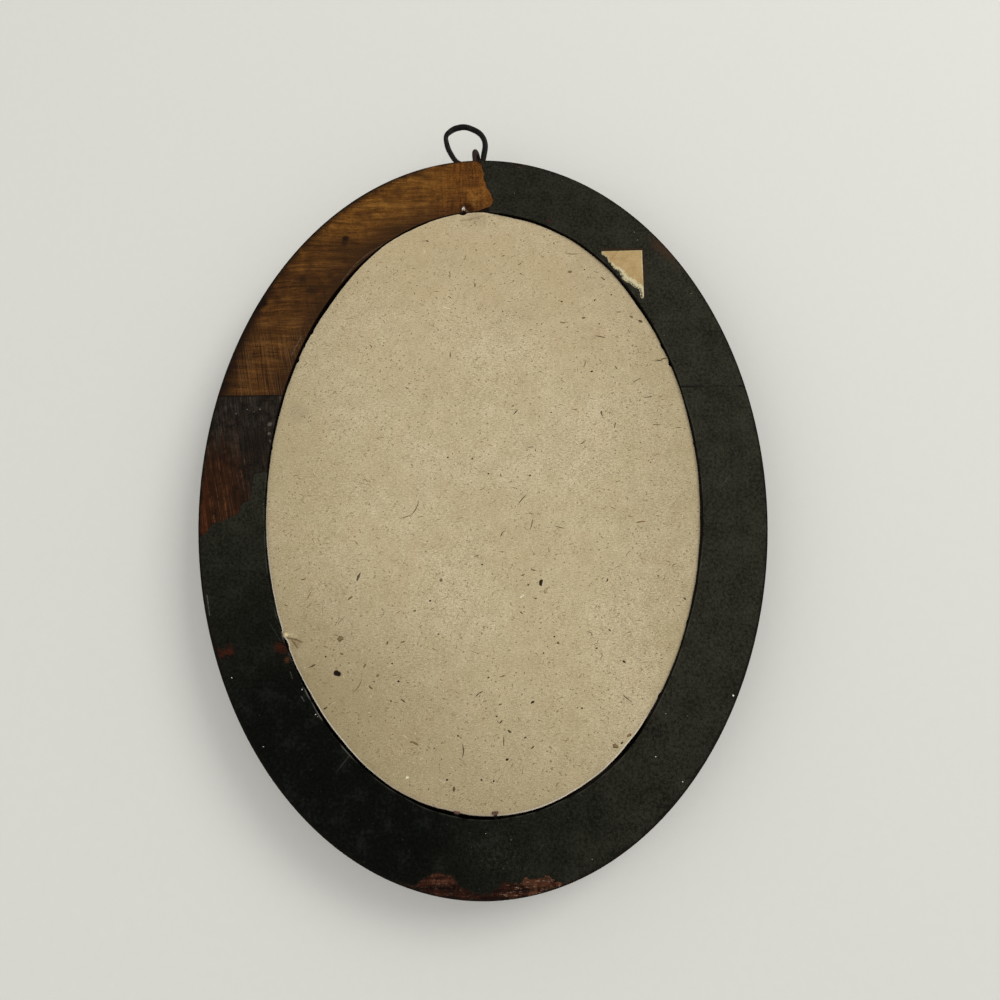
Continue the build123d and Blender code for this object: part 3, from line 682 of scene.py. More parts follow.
def make_glass(material):
    """Old pane: an oval skin whose back and front swell and sink a few hundredths of a millimetre,
    as drawn glass does, joined round the cut edge by half a circle that is pressed flat. It stops
    short of the card and of the slip by a hair, so that no two faces lie in one plane."""
    turn = np.arange(300) * 2 * np.pi / 300
    edge_x, edge_z = GLASS_OVAL[0] * np.cos(turn), GLASS_OVAL[1] * np.sin(turn)
    shares = np.r_[np.linspace(0.03, 0.97, 36), 0.994]
    rings = []
    for share in shares:
        x, z = edge_x * share, edge_z * share
        sunk = 0.02 + 0.5 * abs(rough_sheet(x, z, 81, 38.0, 0.02, 1))
        rings.append(np.stack([x, GLASS_BACK - sunk, z], -1))
    for lean in np.linspace(0, np.pi, 9):
        share = 1 - 0.0035 * (1 - np.sin(lean))
        y = (GLASS_BACK + GLASS_FRONT) / 2 + (GLASS_BACK - GLASS_FRONT) / 2 * np.cos(lean)
        rings.append(np.stack([edge_x * share, np.full_like(turn, y), edge_z * share], -1))
    for share in shares[::-1]:
        x, z = edge_x * share, edge_z * share
        sunk = 0.02 + 0.5 * abs(rough_sheet(x, z, 82, 30.0, 0.02, 1))
        rings.append(np.stack([x, GLASS_FRONT + sunk, z], -1))
    points, faces = capped(np.array(rings))
    make_piece("old_glass_pane", points, faces, material, ("glass_pane",), sharp=40)


# ---- ring and staple

# Corners of the ring's middle line: (across, along, radius) as shares of its width, as in the solid
RING_CORNERS = (
    (-0.15, 0, 0.14), (-0.288, 0.738, 0.437), (0.28, 0.992, 0.455), (0.575, 0.925, 0.38),
    (0.792, 0.765, 0.15), (0.762, 0.443, 0.885), (0.485, 0, 0.343))
RING_WIDTH, RING_GAUGE, RING_LEAN, RING_STEPS = 13.25, 1.86, 14.0, 420
RING_HINGE = np.array([1.5, -4.2, 114.725])
STAPLE_GAUGE, STAPLE_WIDTH, STAPLE_TURN = 1.62, 4.4, 17.0
STAPLE_FOOT = np.array([1.5, -4.0, 113.5])  # where its middle line leaves the rail
STAPLE_STAND, STAPLE_GRIP = 3.45, 8.8  # straight length of a leg above the rail, and below
STAPLE_LEG_RADIUS = 0.565


def tube(path, ahead, normal, radius, flatten, sides):
    """Rings of points round a path in a plane: out along the plane's normal and along the path's
    own side, by a radius that varies along it; flatten presses the inner and outer sides."""
    ahead = ahead / np.linalg.norm(ahead, axis=1)[:, None]
    outward = np.cross(ahead, normal)[:, None]
    turn = (np.arange(sides) * 2 * np.pi / sides)[None, :, None]
    return (path[:, None] + (radius * flatten)[:, None, None] * np.cos(turn) * outward
            + radius[:, None, None] * np.sin(turn) * normal)


def make_ring(material):
    """Bent wire ring: straight runs between its corners, each rounded by an arc that touches both,
    walked at even steps and softened a little. The wire is hammered: its thickness wavers, and it
    is pressed thinner where the ring is bent hardest, away from the staple."""
    corners = np.array(RING_CORNERS) * RING_WIDTH
    corner, radius = corners[:, :2], corners[:, 2]
    into = corner - np.roll(corner, 1, 0)
    into = into / np.linalg.norm(into, axis=1)[:, None]
    out = np.roll(into, -1, 0)
    turn = np.arccos(np.clip((into * out).sum(1), -1, 1))
    side = np.sign(into[:, 0] * out[:, 1] - into[:, 1] * out[:, 0])[:, None]
    start = corner - into * (radius * np.tan(turn / 2))[:, None]
    inward = (np.stack([-into[:, 1], into[:, 0]], -1) * side)[:, None]
    share = np.linspace(0, 1, 24)[None, :, None] * turn[:, None, None]
    bends = np.sin(share) * into[:, None] + (1 - np.cos(share)) * inward
    line = (start[:, None] + radius[:, None, None] * bends).reshape(-1, 2)
    line = np.vstack([line, line[:1]])
    length = walked(line)
    at = np.arange(RING_STEPS) / RING_STEPS * length[-1]
    flat = along_line(at, length, line)
    soft = np.exp(-(np.arange(-14, 15) / 7.0) ** 2)
    flat = np.stack([np.convolve(np.r_[v[-14:], v, v[:14]], soft / soft.sum(), "valid") for v in flat.T], -1)
    lean = np.radians(RING_LEAN)
    along, normal = np.array([0, np.sin(lean), np.cos(lean)]), np.array([0, -np.cos(lean), np.sin(lean)])
    path = RING_HINGE + flat[:, :1] * np.array([1.0, 0, 0]) + flat[:, 1:] * along
    waver = rough_line(np.r_[at, length[-1]], 71, 9.0, 0.028, 1.0)
    waver = (waver - np.linspace(waver[0], waver[-1], RING_STEPS + 1))[:-1]
    pinch = bell(np.linalg.norm(flat - corner[4] * [1.0, 0.98], axis=1), 2.6)
    seat = np.clip(1 - flat[:, 1] / 3.0, 0, 1)
    radius = RING_GAUGE / 2 * (1 - 0.10 * seat) + waver
    ahead = np.roll(path, -1, 0) - np.roll(path, 1, 0)
    rings = tube(path, ahead, normal, radius, 1 - 0.22 * pinch + 0.05 * np.sin(at / 3.1), 28)
    make_piece("iron_hanging_ring", rings, [quads(rings, True, True)], material,
               ("hanging_ring",), body="ring")


def make_staple(material):
    """Wire staple: down one leg, half a circle over the crown and down the other, with closed
    ends deep in the wood; the wire swells a little at the crown, where it is bent and rusted."""
    half = STAPLE_WIDTH / 2
    turn = np.linspace(0, np.pi, 40)
    leg = np.linspace(-STAPLE_GRIP, STAPLE_STAND, 24)[:-1]
    across = np.r_[np.full(leg.size, half), half * np.cos(turn), np.full(leg.size, -half)]
    up = np.r_[leg, STAPLE_STAND + half * np.sin(turn), leg[::-1]]
    angle = np.radians(STAPLE_TURN)
    sideways, normal = (np.array([np.sin(angle), np.cos(angle), 0]),
                        np.array([np.cos(angle), -np.sin(angle), 0]))
    path = STAPLE_FOOT + across[:, None] * sideways + up[:, None] * np.array([0, 0, 1.0])
    crown = np.clip((up - 0.5) / 2.5, 0, 1)
    swell = STAPLE_GAUGE / 2 - STAPLE_LEG_RADIUS + rough_line(walked(path), 72, 4.0, 0.03, 0.6)
    radius = STAPLE_LEG_RADIUS + swell * crown
    points, faces = capped(tube(path, np.gradient(path, axis=0), normal, radius, 1.0, 24))
    make_piece("rusty_hanger_staple", points, faces, material, ("hanger_staple",))


# ---- marks on the finishes

def inset_of(bench):
    """Distance in mm from the outer edge of the oval: one less the oval radius, over how fast that
    radius grows."""
    across, up = bench.x / HALF_WIDTH, bench.z / HALF_HEIGHT
    radius = (across * across + up * up).math("SQRT").floor_at(0.001)
    growth = ((across / HALF_WIDTH) ** 2 + (up / HALF_HEIGHT) ** 2).math("SQRT") / radius
    return (1 - radius) / growth.floor_at(0.001)


def near(bench, *rows):
    """Round marks on the back, added up. Each row is (x, z, reach, softness, strength): the mark
    fades out over the soft share of its reach."""
    total = 0.0
    for x, z, reach, soft, strength in rows:
        away = bench.node("ShaderNodeVectorMath", {"operation": "DISTANCE"},
                          {0: bench.vector(bench.x, 0.0, bench.z), 1: (x, 0.0, z)}, out="Value")
        total = away.between(reach, reach * (1 - soft)) * strength + total
    return total


def stroke(bench, *rows):
    """Straight marks on the back, added up. Each row is (x, z, x, z, half width, strength), from one
    place to another: the mark fades out over its half width."""
    total = 0.0
    for x, z, end_x, end_z, width, strength in rows:
        run, rise = end_x - x, end_z - z
        from_x, from_z = bench.x - x, bench.z - z
        share = ((from_x * run + from_z * rise) / (run * run + rise * rise)).unit()
        off_x, off_z = from_x - share * run, from_z - share * rise
        away = (off_x * off_x + off_z * off_z).math("SQRT")
        total = away.between(width, 0.0) * strength + total
    return total


def lined(bench, lean, run, fine, detail=3, shift=0):
    """Streaks along a line that leans from +Z towards +X: noise drawn out along it."""
    cos, sin = float(np.cos(np.radians(lean))), float(np.sin(np.radians(lean)))
    along = bench.z * cos + bench.x * sin
    across = bench.x * cos - bench.z * sin
    at = bench.vector(across * fine, bench.y * fine * 0.6, along * run)
    return bench.noise(1, detail, shift=shift, at=at)


# ---- wood of the rail

class Rail(Bench):
    """The bench for one segment of the rail, with what all its woods share. The grain runs along
    the page at the ends and up it at the sides."""

    def __init__(self, name, kind):
        super().__init__(name)
        self.lengthwise = (self.x, self.z) if kind in ("top", "bottom") else (self.z, self.x)
        self.inset = inset_of(self)
        self.bend = self.noise(0.03, 1, shift=2) * 9
        self.bands = self.grain(0.022, 0.20, 3, 0.6, 0)
        self.streaks = self.grain(0.045, 0.85, 4, 0.65, 3)
        self.pores = self.grain(0.16, 3.4, 3, 0.6, 7)
        self.cloud = self.noise(0.07, 3, shift=1)
        self.patch = self.noise(0.32, 4, shift=5)
        self.fuzz = self.noise(2.2, 3)
        self.figure = self.bands * 0.34 + self.streaks * 0.42 + self.patch * 0.24

    def grain(self, run, fine, detail, rough, shift):
        """Noise drawn out along the grain, which bends a little."""
        along, across = self.lengthwise
        at = self.vector(along * run, (across + self.bend) * fine, self.y * 0.8)
        return self.noise(1, detail, rough, shift, at=at)


def old_polish(rail):
    """Old dark polish of the moulded front: deep brown, greyer and duller in the hollow, rubbed to warm
    brown on the crest and the outer corner. Gives its colour, roughness and height."""
    inset, y = rail.inset, rail.y
    cloud = rail.noise(0.11)
    fine = rail.noise(1.6, 5)
    grain = rail.noise(0.9, shift=4, stretch=(0.25, 1.6, 0.25))
    craze = rail.cells(0.55, "DISTANCE_TO_EDGE").between(0, 0.05)
    colour = rail.mix((30, 19, 13), (60, 37, 22), (cloud * 0.4 + grain * 0.4 + fine * 0.2).between(0.34, 0.68))
    crest = (y + fine.sway(0.5) + cloud.sway(1.2)).between(-15.6, -17.4) * 0.85
    corner = (inset + fine.sway(0.8) + cloud.sway(1)).between(0.9, 0.1) * y.between(-5, -8)
    rubbed = ((crest + corner).cap_at(1) * (grain * 0.5 + fine * 0.5).between(0.30, 0.66)).unit()
    colour = colour.under(98, 61, 34, rubbed * 0.7)
    hollow = abs((y + 9.5) / 3).between(0.5, 0.05) * fine.between(0.35, 0.7)
    colour = colour.under(92, 80, 66, hollow * 0.22)
    nick = rail.cells(0.13, shift=9).between(0.055, 0.03) * cloud.between(0.45, 0.6)
    colour = colour.under(146, 104, 64, nick * 0.7)
    rough = 0.42 + cloud * 0.16 + rubbed * 0.14 + hollow * 0.2
    height = grain * 0.25 + fine * 0.12 + craze * 0.25 - nick * 0.8
    return colour, rough, height


# Each of the four functions below gives the back of a segment: its colour, the width of its dark
# border, the height of its marks, where paper covers it, and where its inner wall is out of sight,
# so that the painted shade of the wall reaches further there.

def top_back(rail):
    """Bare honey-brown wood with threads of grain, redder, cross-grained and torn beside the paper,
    drab with age lower down, dark along its edges with painted shade near its outer edge, soiled and
    scuffed towards its lower end."""
    x, z, inset, cloud, patch, fuzz = rail.x, rail.z, rail.inset, rail.cloud, rail.patch, rail.fuzz
    threads = rail.grain(0.09, 1.9, 6, 0.75, 9)
    figure = rail.figure * 0.50 + threads * 0.32 + fuzz * 0.18
    gold = rail.ramp(figure, ((0.37, 40, 22, 5), (0.44, 74, 44, 13), (0.51, 104, 66, 23), (0.61, 142, 98, 42)))
    drab = rail.ramp(figure, ((0.37, 30, 17, 6), (0.44, 58, 35, 13), (0.52, 86, 54, 22), (0.62, 120, 82, 40)))
    colour = rail.mix(gold, drab, (z + cloud.sway(44) + patch.sway(26) - inset * 1.5).between(94, 56))
    cross = rail.noise(1, 4, 0.6, at=rail.vector(x * 1.5, z * 0.12, rail.y))
    red = rail.mix((52, 24, 5), (112, 66, 22), (cross * 0.6 + fuzz * 0.4).between(0.38, 0.6))
    colour = rail.mix(colour, red, (x + patch.sway(14)).between(20, 8) * 0.6)
    blot = (rail.noise(0.17, 5, 0.6, 14) * 0.7 + fuzz * 0.3).between(0.52, 0.62)
    colour = colour.under(46, 25, 11, blot * 0.5)
    torn = (x + patch.sway(4)).between(3, -2.5) * (z + cloud.sway(4)).between(107, 102)
    raw = (fuzz * 0.3 + threads * 0.3 + patch * 0.4).between(0.40, 0.62)
    colour = rail.mix(colour, rail.mix((84, 44, 10), (146, 98, 42), raw), torn * 0.45)
    ocher = near(rail, (2.8, 100.5, 3.4, 0.7, 1), (1.6, 97.2, 2.4, 0.7, 1)) * patch.between(0.46, 0.6)
    colour = colour.under(150, 104, 44, ocher.unit() * 0.5)
    smudge = near(rail, (54.4, 65.7, 3, 0.8, 1), (57.6, 69.5, 2.6, 0.8, 1), (49, 72.8, 5, 0.9, 0.6),
                  (44.2, 84.3, 1.5, 0.8, 1.5), (44.7, 82.6, 1.8, 0.9, 1.2), (27, 95, 3, 0.9, 0.3),
                  (30, 88, 7, 0.9, 0.35), (42.5, 79, 6, 0.9, 0.5), (46.5, 79, 5, 0.9, 0.35),
                  (56, 81, 5, 0.9, 0.5))
    colour = colour.under(34, 22, 13, (smudge * (patch * 0.6 + fuzz * 0.4).between(0.36, 0.56)).unit() * 0.8)
    dusk = (inset + patch.sway(7)).between(13, 19) * z.between(104, 84)
    colour = colour.under(46, 28, 14, dusk.unit() * 0.75)
    scuffs = lined(rail, 13, 0.06, 4, 5).between(0.50, 0.68) * (z + cloud.sway(16)).between(60, 44)
    colour = colour.under(126, 92, 58, scuffs * 0.42)
    cuts = lined(rail, 9, 0.06, 3.2, 4, 6).between(0.54, 0.68) * z.between(74, 54)
    notch = (inset + abs(z - 61) * 0.8 + patch.sway(2) + fuzz.sway(1)).between(4.6, 1.6)
    notch = near(rail, (70.8, 60.6, 4.6, 0.6, 1)) * notch
    colour = colour.under(30, 16, 7, cuts * 0.8 + notch * 1.1)
    shade = (-inset + patch.sway(6) + cloud.sway(8) + z.between(78, 36) * 7.5).between(0, 5.5)
    colour = colour.under(22, 15, 9, shade * 0.72)
    spots = near(rail, (44.5, 84.3, 1.3, 0.6, 1), (69.9, 61.2, 1.5, 0.5, 1), (51.9, 68.1, 1.7, 0.9, 0.5),
                 (48.8, 71, 1.5, 0.9, 0.5), (40.7, 90.2, 1.2, 0.9, 0.4), (25, 102, 0.8, 0.9, 0.5))
    colour = colour.under(26, 15, 7, (spots * (fuzz + 0.45)).unit() * 0.85)
    worn = stroke(rail, (45.1, 68.6, 40.4, 75.4, 0.3, 1), (40.4, 75.4, 36.3, 79, 0.3, 1),
                  (36.3, 79, 32.4, 81.8, 0.3, 1), (59.6, 43.6, 57.2, 49.4, 0.4, 1))
    colour = colour.under(128, 116, 100, (worn * fuzz.between(0.34, 0.60)).unit() * 0.3)
    # Painted shade in a soft band along the outer edge, towards the upper left of the page
    outer_edge_shade = (inset + patch.sway(3) + fuzz.sway(1)).between(3.4, 0.4) * x.between(10, 34)
    colour = colour.under(22, 12, 6, outer_edge_shade * 0.8)
    cover = x.between(2, -3)
    return colour, 1.1, scuffs * -0.4 - cuts * 0.5 - notch + torn * 0.6, cover, cover


def right_back(rail):
    """Black stained wood with pale slanting scuffs and hairs, red-brown wood laid bare below a
    slant, a dark hood at the inner edge, a rusty outer edge and small pale spots."""
    x, z, inset, cloud, patch, fuzz = rail.x, rail.z, rail.inset, rail.cloud, rail.patch, rail.fuzz
    threads = rail.noise(1, 6, 0.75, 9, at=rail.vector((x - z * 0.2) * 1.7, z * 0.06, rail.y))
    red = rail.ramp(threads * 0.6 + rail.streaks * 0.2 + patch * 0.2,
                    ((0.38, 17, 9, 5), (0.46, 31, 17, 9), (0.54, 48, 26, 12), (0.64, 74, 42, 22)))
    cloudy = (patch * 0.34 + fuzz * 0.36 + threads * 0.3).between(0.38, 0.62)
    stain = rail.mix((12, 10, 8), (38, 33, 27), cloudy)
    slant = x * -0.25 + z + cloud.sway(10) + patch.sway(14)
    bare = slant.between(0, -16) * (inset + patch.sway(6) + z * 0.35).between(17, 9)
    colour = rail.mix(stain, red, bare * (patch * 0.6 + fuzz * 0.4 + 0.12).between(0.40, 0.58))
    scuffs = lined(rail, 13, 0.06, 3.8, 5).between(0.48, 0.70)
    broad = (cloud * 0.5 + patch * 0.5).between(0.38, 0.60) * z.between(24, 10) * (inset - 17).between(0, -5)
    spread = scuffs * (broad + 0.14) * (fuzz * 0.5 + patch * 0.5).between(0.36, 0.56)
    pale = rail.mix((80, 68, 56), (100, 62, 36), slant.between(14, -4))
    colour = rail.mix(colour, pale, spread * 0.85)
    hairs = lined(rail, 9, 0.14, 5.2, 4, 7).between(0.50, 0.66) * (patch.between(0.40, 0.60) * 0.7 + 0.3)
    colour = colour.under(92, 80, 70, hairs * z.between(6, 20) * 0.42)
    hood = near(rail, (70, 14, 7, 0.9, 1)) * (inset - 8).between(-6, 4) + near(rail, (73, -3, 4, 0.9, 0.7))
    colour = colour.under(14, 13, 10, (hood * patch.between(0.35, 0.55)).unit() * 0.75)
    rusty_edge = (inset + patch.sway(3) + fuzz.sway(1.5)).between(5, 1) * z.between(8, -4)
    colour = colour.under(60, 26, 8, rusty_edge * 0.6)
    spots = near(rail, (65.2, 20.5, 1, 0.6, 0.7), (65.2, 17.4, 0.6, 0.5, 1), (64.5, 15, 0.8, 0.6, 0.7),
                 (68.5, 25.4, 0.35, 0.5, 1), (72.5, 25.4, 0.3, 0.5, 1), (70.3, 24.6, 0.3, 0.5, 1),
                 (75.8, 24, 0.3, 0.5, 1))
    colour = colour.under(108, 106, 92, (spots * fuzz.between(0.35, 0.6)).unit() * 0.8)
    return colour, 1.4, scuffs * -0.5, z.between(-13, -17), z.between(6, -2)


def bottom_back(rail):
    """Dark red wood that shows where the paper is worn away, paler and fibrous towards the right
    of the page."""
    x, z, patch, fuzz = rail.x, rail.z, rail.patch, rail.fuzz
    red = rail.ramp(rail.streaks * 0.5 + patch * 0.25 + fuzz * 0.25,
                    ((0.38, 8, 4, 3), (0.46, 26, 11, 6), (0.54, 46, 22, 13), (0.64, 84, 52, 36)))
    colour = red.under(98, 62, 40, x.between(-4, -14) * patch.between(0.4, 0.6) * 0.55)
    fibres = rail.noise(1, 5, 0.7, at=rail.vector(x * 0.35, z * 2.4, rail.y)).between(0.53, 0.66)
    shown = fibres * fuzz.between(0.40, 0.56) * (x.between(-1, -8) + 0.22)
    colour = colour.under(150, 118, 98, shown * 0.85)
    return colour, 0.8, fibres * 0.5, abs(x).between(19, 26), z.between(-20, -32)


def left_back(rail):
    """Plain brown wood, all of it under the paper."""
    return rail.mix((38, 24, 15), (84, 48, 24), rail.figure.between(0.35, 0.65)), 1.3, 0, 1, 1


def rail_wood(kind):
    """Wood of one segment: bare or stained on the back, polished in front. `kind` is top, right,
    bottom or left."""
    rail = Rail(f"wood of the {kind} segment", kind)
    y, z, inset, patch, fuzz = rail.y, rail.z, rail.inset, rail.patch, rail.fuzz
    backs = {"top": top_back, "right": right_back, "bottom": bottom_back, "left": left_back}
    colour, border, marks, cover, hidden = backs[kind](rail)
    colour = colour.under(30, 17, 9, rail.pores.between(0.53, 0.67) * 0.62)
    edge = (inset + patch.sway(1.8) + fuzz.sway(0.5) - cover * 3).between(border, border * 0.25)
    colour = colour.under(17, 13, 9, edge * 0.93)
    joint = abs(z - (LEFT_JOINT if kind == "left" else RIGHT_JOINT) + patch.sway(0.25)).between(0.34, 0.08)
    if kind in ("top", "right"):
        colour = colour.under(16, 11, 8, joint * 0.85)
    # Painted shade: the rebate's inner wall is near black, and where it is out of sight the dark reaches 1.6
    # mm further onto the back
    wall = (inset + hidden * 1.6).between(19.5, 19.75)
    colour = colour.under(9, 6, 4, wall * 0.97)
    # Painted shade round the bent brad: in its hole and under its head
    if kind == "top":
        brad_hole_shade = near(rail, (5.7, 93.2, 1.5, 0.4, 0.95))
        colour = colour.under(12, 7, 4, brad_hole_shade)
    height = rail.streaks * 0.35 + rail.pores * -0.25 + fuzz * 0.12 + marks * 0.5 - joint * 0.5 - edge * 0.15
    rough = 0.62 + rail.streaks.sway(0.2) + patch.sway(0.15)

    polish, polish_rough, polish_height = old_polish(rail)
    back = (y + patch.sway(0.5)).between(-1, -0.45) + inset.between(12, 15) * y.between(-7.2, -6.6)
    back = back.unit()
    return rail.finish(rail.mix(polish, colour, back), polish_rough + (rough - polish_rough) * back,
                       polish_height + (height - polish_height) * back, 0.45, 0.0003,
                       Specular_IOR_Level=0.04, Coat_Roughness=0.32,
                       Coat_Weight=(1 - back) * (inset.between(0.3, 1.6) * 0.47 + 0.08))


# ---- finishes of the sheets

def dark_paper():
    """Dark grey-green paper, thin and rubbed: cloudy, pebbled, with pale grit, brown where the
    outer edge is worn through and a fibrous rim at the tears. Painted shade darkens it towards the
    lower left of the page and a little at the top, painted light and sheen pale it towards the upper
    right, and a painted highlight runs along its inner edge."""
    bench = Bench("dark backing paper")
    x, z, inset = bench.x, bench.z, inset_of(bench)
    cloud = bench.noise(0.035, 3)
    blotch = bench.noise(0.16, 5, 0.6, 3)
    pebble = bench.noise(1.1, 4, 0.65)
    grit = bench.noise(3.4, 3, 0.7, 5)

    # Painted shade: darker towards the lower left of the page and a little at the top; painted light and sheen
    # make it paler towards the upper right
    dusk = near(bench, (47, -88, 128, 1, 1.15), (-18, 106, 52, 0.8, 0.28))
    painted_light = (1 - dusk + cloud.sway(0.3)).unit()
    dark = bench.mix((3, 5, 3), (34, 34, 26), painted_light)
    light = dark.under(92, 90, 74, painted_light * 0.155 + 0.03)
    lumps = (blotch * 0.20 + pebble * 0.40 + grit * 0.40).between(0.39, 0.61)
    colour = bench.mix(dark.under(2, 3, 1, 0.60), light, lumps)
    veil = (blotch * 0.6 + pebble * 0.4).between(0.50, 0.66) * (1 - painted_light)
    colour = colour.under(46, 50, 46, veil * 0.18)
    rust = bench.noise(0.5, shift=8).between(0.66, 0.74) * blotch.between(0.4, 0.6)
    colour = colour.under(66, 42, 26, rust * 0.18)
    dots = bench.cells(0.42, shift=3).between(0.10, 0.04) * grit.between(0.45, 0.6)
    colour = colour.under(118, 116, 104, dots * 0.22)
    scratch = lined(bench, -38, 0.05, 1.6, 2, 2).between(0.70, 0.76) * blotch.between(0.5, 0.62)
    colour = colour.under(96, 94, 84, scratch * 0.2)
    smear = (lined(bench, 30, 0.7, 2.4, 5, 1) * 0.55 + grit * 0.45).between(0.47, 0.66)
    colour = colour.under(80, 82, 70, near(bench, (-3, -102, 11, 0.9, 0.2)) * smear)

    tan = (inset + blotch.sway(5) + grit.sway(2)).between(5, 0.5)
    colour = colour.under(70, 46, 30, near(bench, (-58, 77.5, 9, 0.9, 0.6)) * tan)
    worn = (inset + blotch.sway(1.6) + pebble.sway(0.8)).between(1.25, 0.55)
    colour = colour.under(12, 11, 9, worn * 0.55)
    brown = near(bench, (-56.6, 78, 7, 0.8, 0.5), (-12.9, 110.3, 4.5, 0.6, 1), (0, -112, 26, 0.4, 1))
    colour = colour.under(84, 50, 26, (worn * brown * grit.between(0.4, 0.6)).unit() * 0.85)
    red = near(bench, (75.6, -48.2, 2.4, 0.8, 1), (72.6, -47.6, 2.4, 0.8, 1), (58.6, -46.6, 2.2, 0.8, 1),
               (57, -47.4, 1.8, 0.8, 1), (-22.4, 89.7, 0.8, 0.4, 1))
    red = red * (lined(bench, 78, 0.5, 1.7, 4, 5) * 0.5 + grit * 0.5).between(0.42, 0.58)
    colour = colour.under(66, 26, 14, red.unit() * 0.8)
    amber = near(bench, (56, -50.3, 1.3, 0.9, 0.7)) * grit.between(0.36, 0.56)
    colour = colour.under(84, 50, 24, amber)
    chafe = stroke(bench, (80.2, -31.5, 78.9, -37.5, 0.25, 0.6), (61.6, -39.8, 58.2, -44.8, 0.14, 0.25),
                   (54.9, -53.6, 54.2, -55.4, 0.2, 0.5), (51.4, -60.4, 50.6, -61.6, 0.3, 0.5))
    colour = colour.under(112, 116, 106, (chafe * grit.between(0.36, 0.56)).unit() * 0.75)

    fringe = (bench.mark("tear") + pebble.sway(0.7)).between(0.55, 0.05)
    colour = colour.under(44, 37, 30, fringe * grit.between(0.35, 0.6) * 0.6)
    shadow = stroke(bench, (-38.8, 79.2, -52.4, 79.2, 0.5, 0.6), (-53, 78.8, -53, 64, 0.4, 0.36))
    colour = colour.under(58, 32, 16, shadow)
    # Painted highlight along the paper's cut inner edge, strongest at the lower left of the page
    lip = bench.mark("inner_rim").between(0.45, 0.05) * blotch.between(0.42, 0.6)
    lip = lip * (x.between(30, 46) * z.between(-36, -46) + 0.25)
    colour = colour.under(104, 102, 92, lip * 0.6)
    seam = abs(z - LEFT_JOINT).between(0.5, 0.1) * x.between(0, -10)
    ends = 0.4 + 0.5 * inset.between(12, 19) + inset.between(3, 0.6)
    colour = colour.under(14, 14, 11, seam * ends.unit())
    height = pebble * 0.5 + grit * 0.3 + blotch * 0.4 - scratch * 0.3 + dots * 0.3
    return bench.finish(colour, 0.72 + blotch.sway(0.25) - worn * 0.1, height, 0.4, 0.00025,
                        Specular_IOR_Level=0.04)


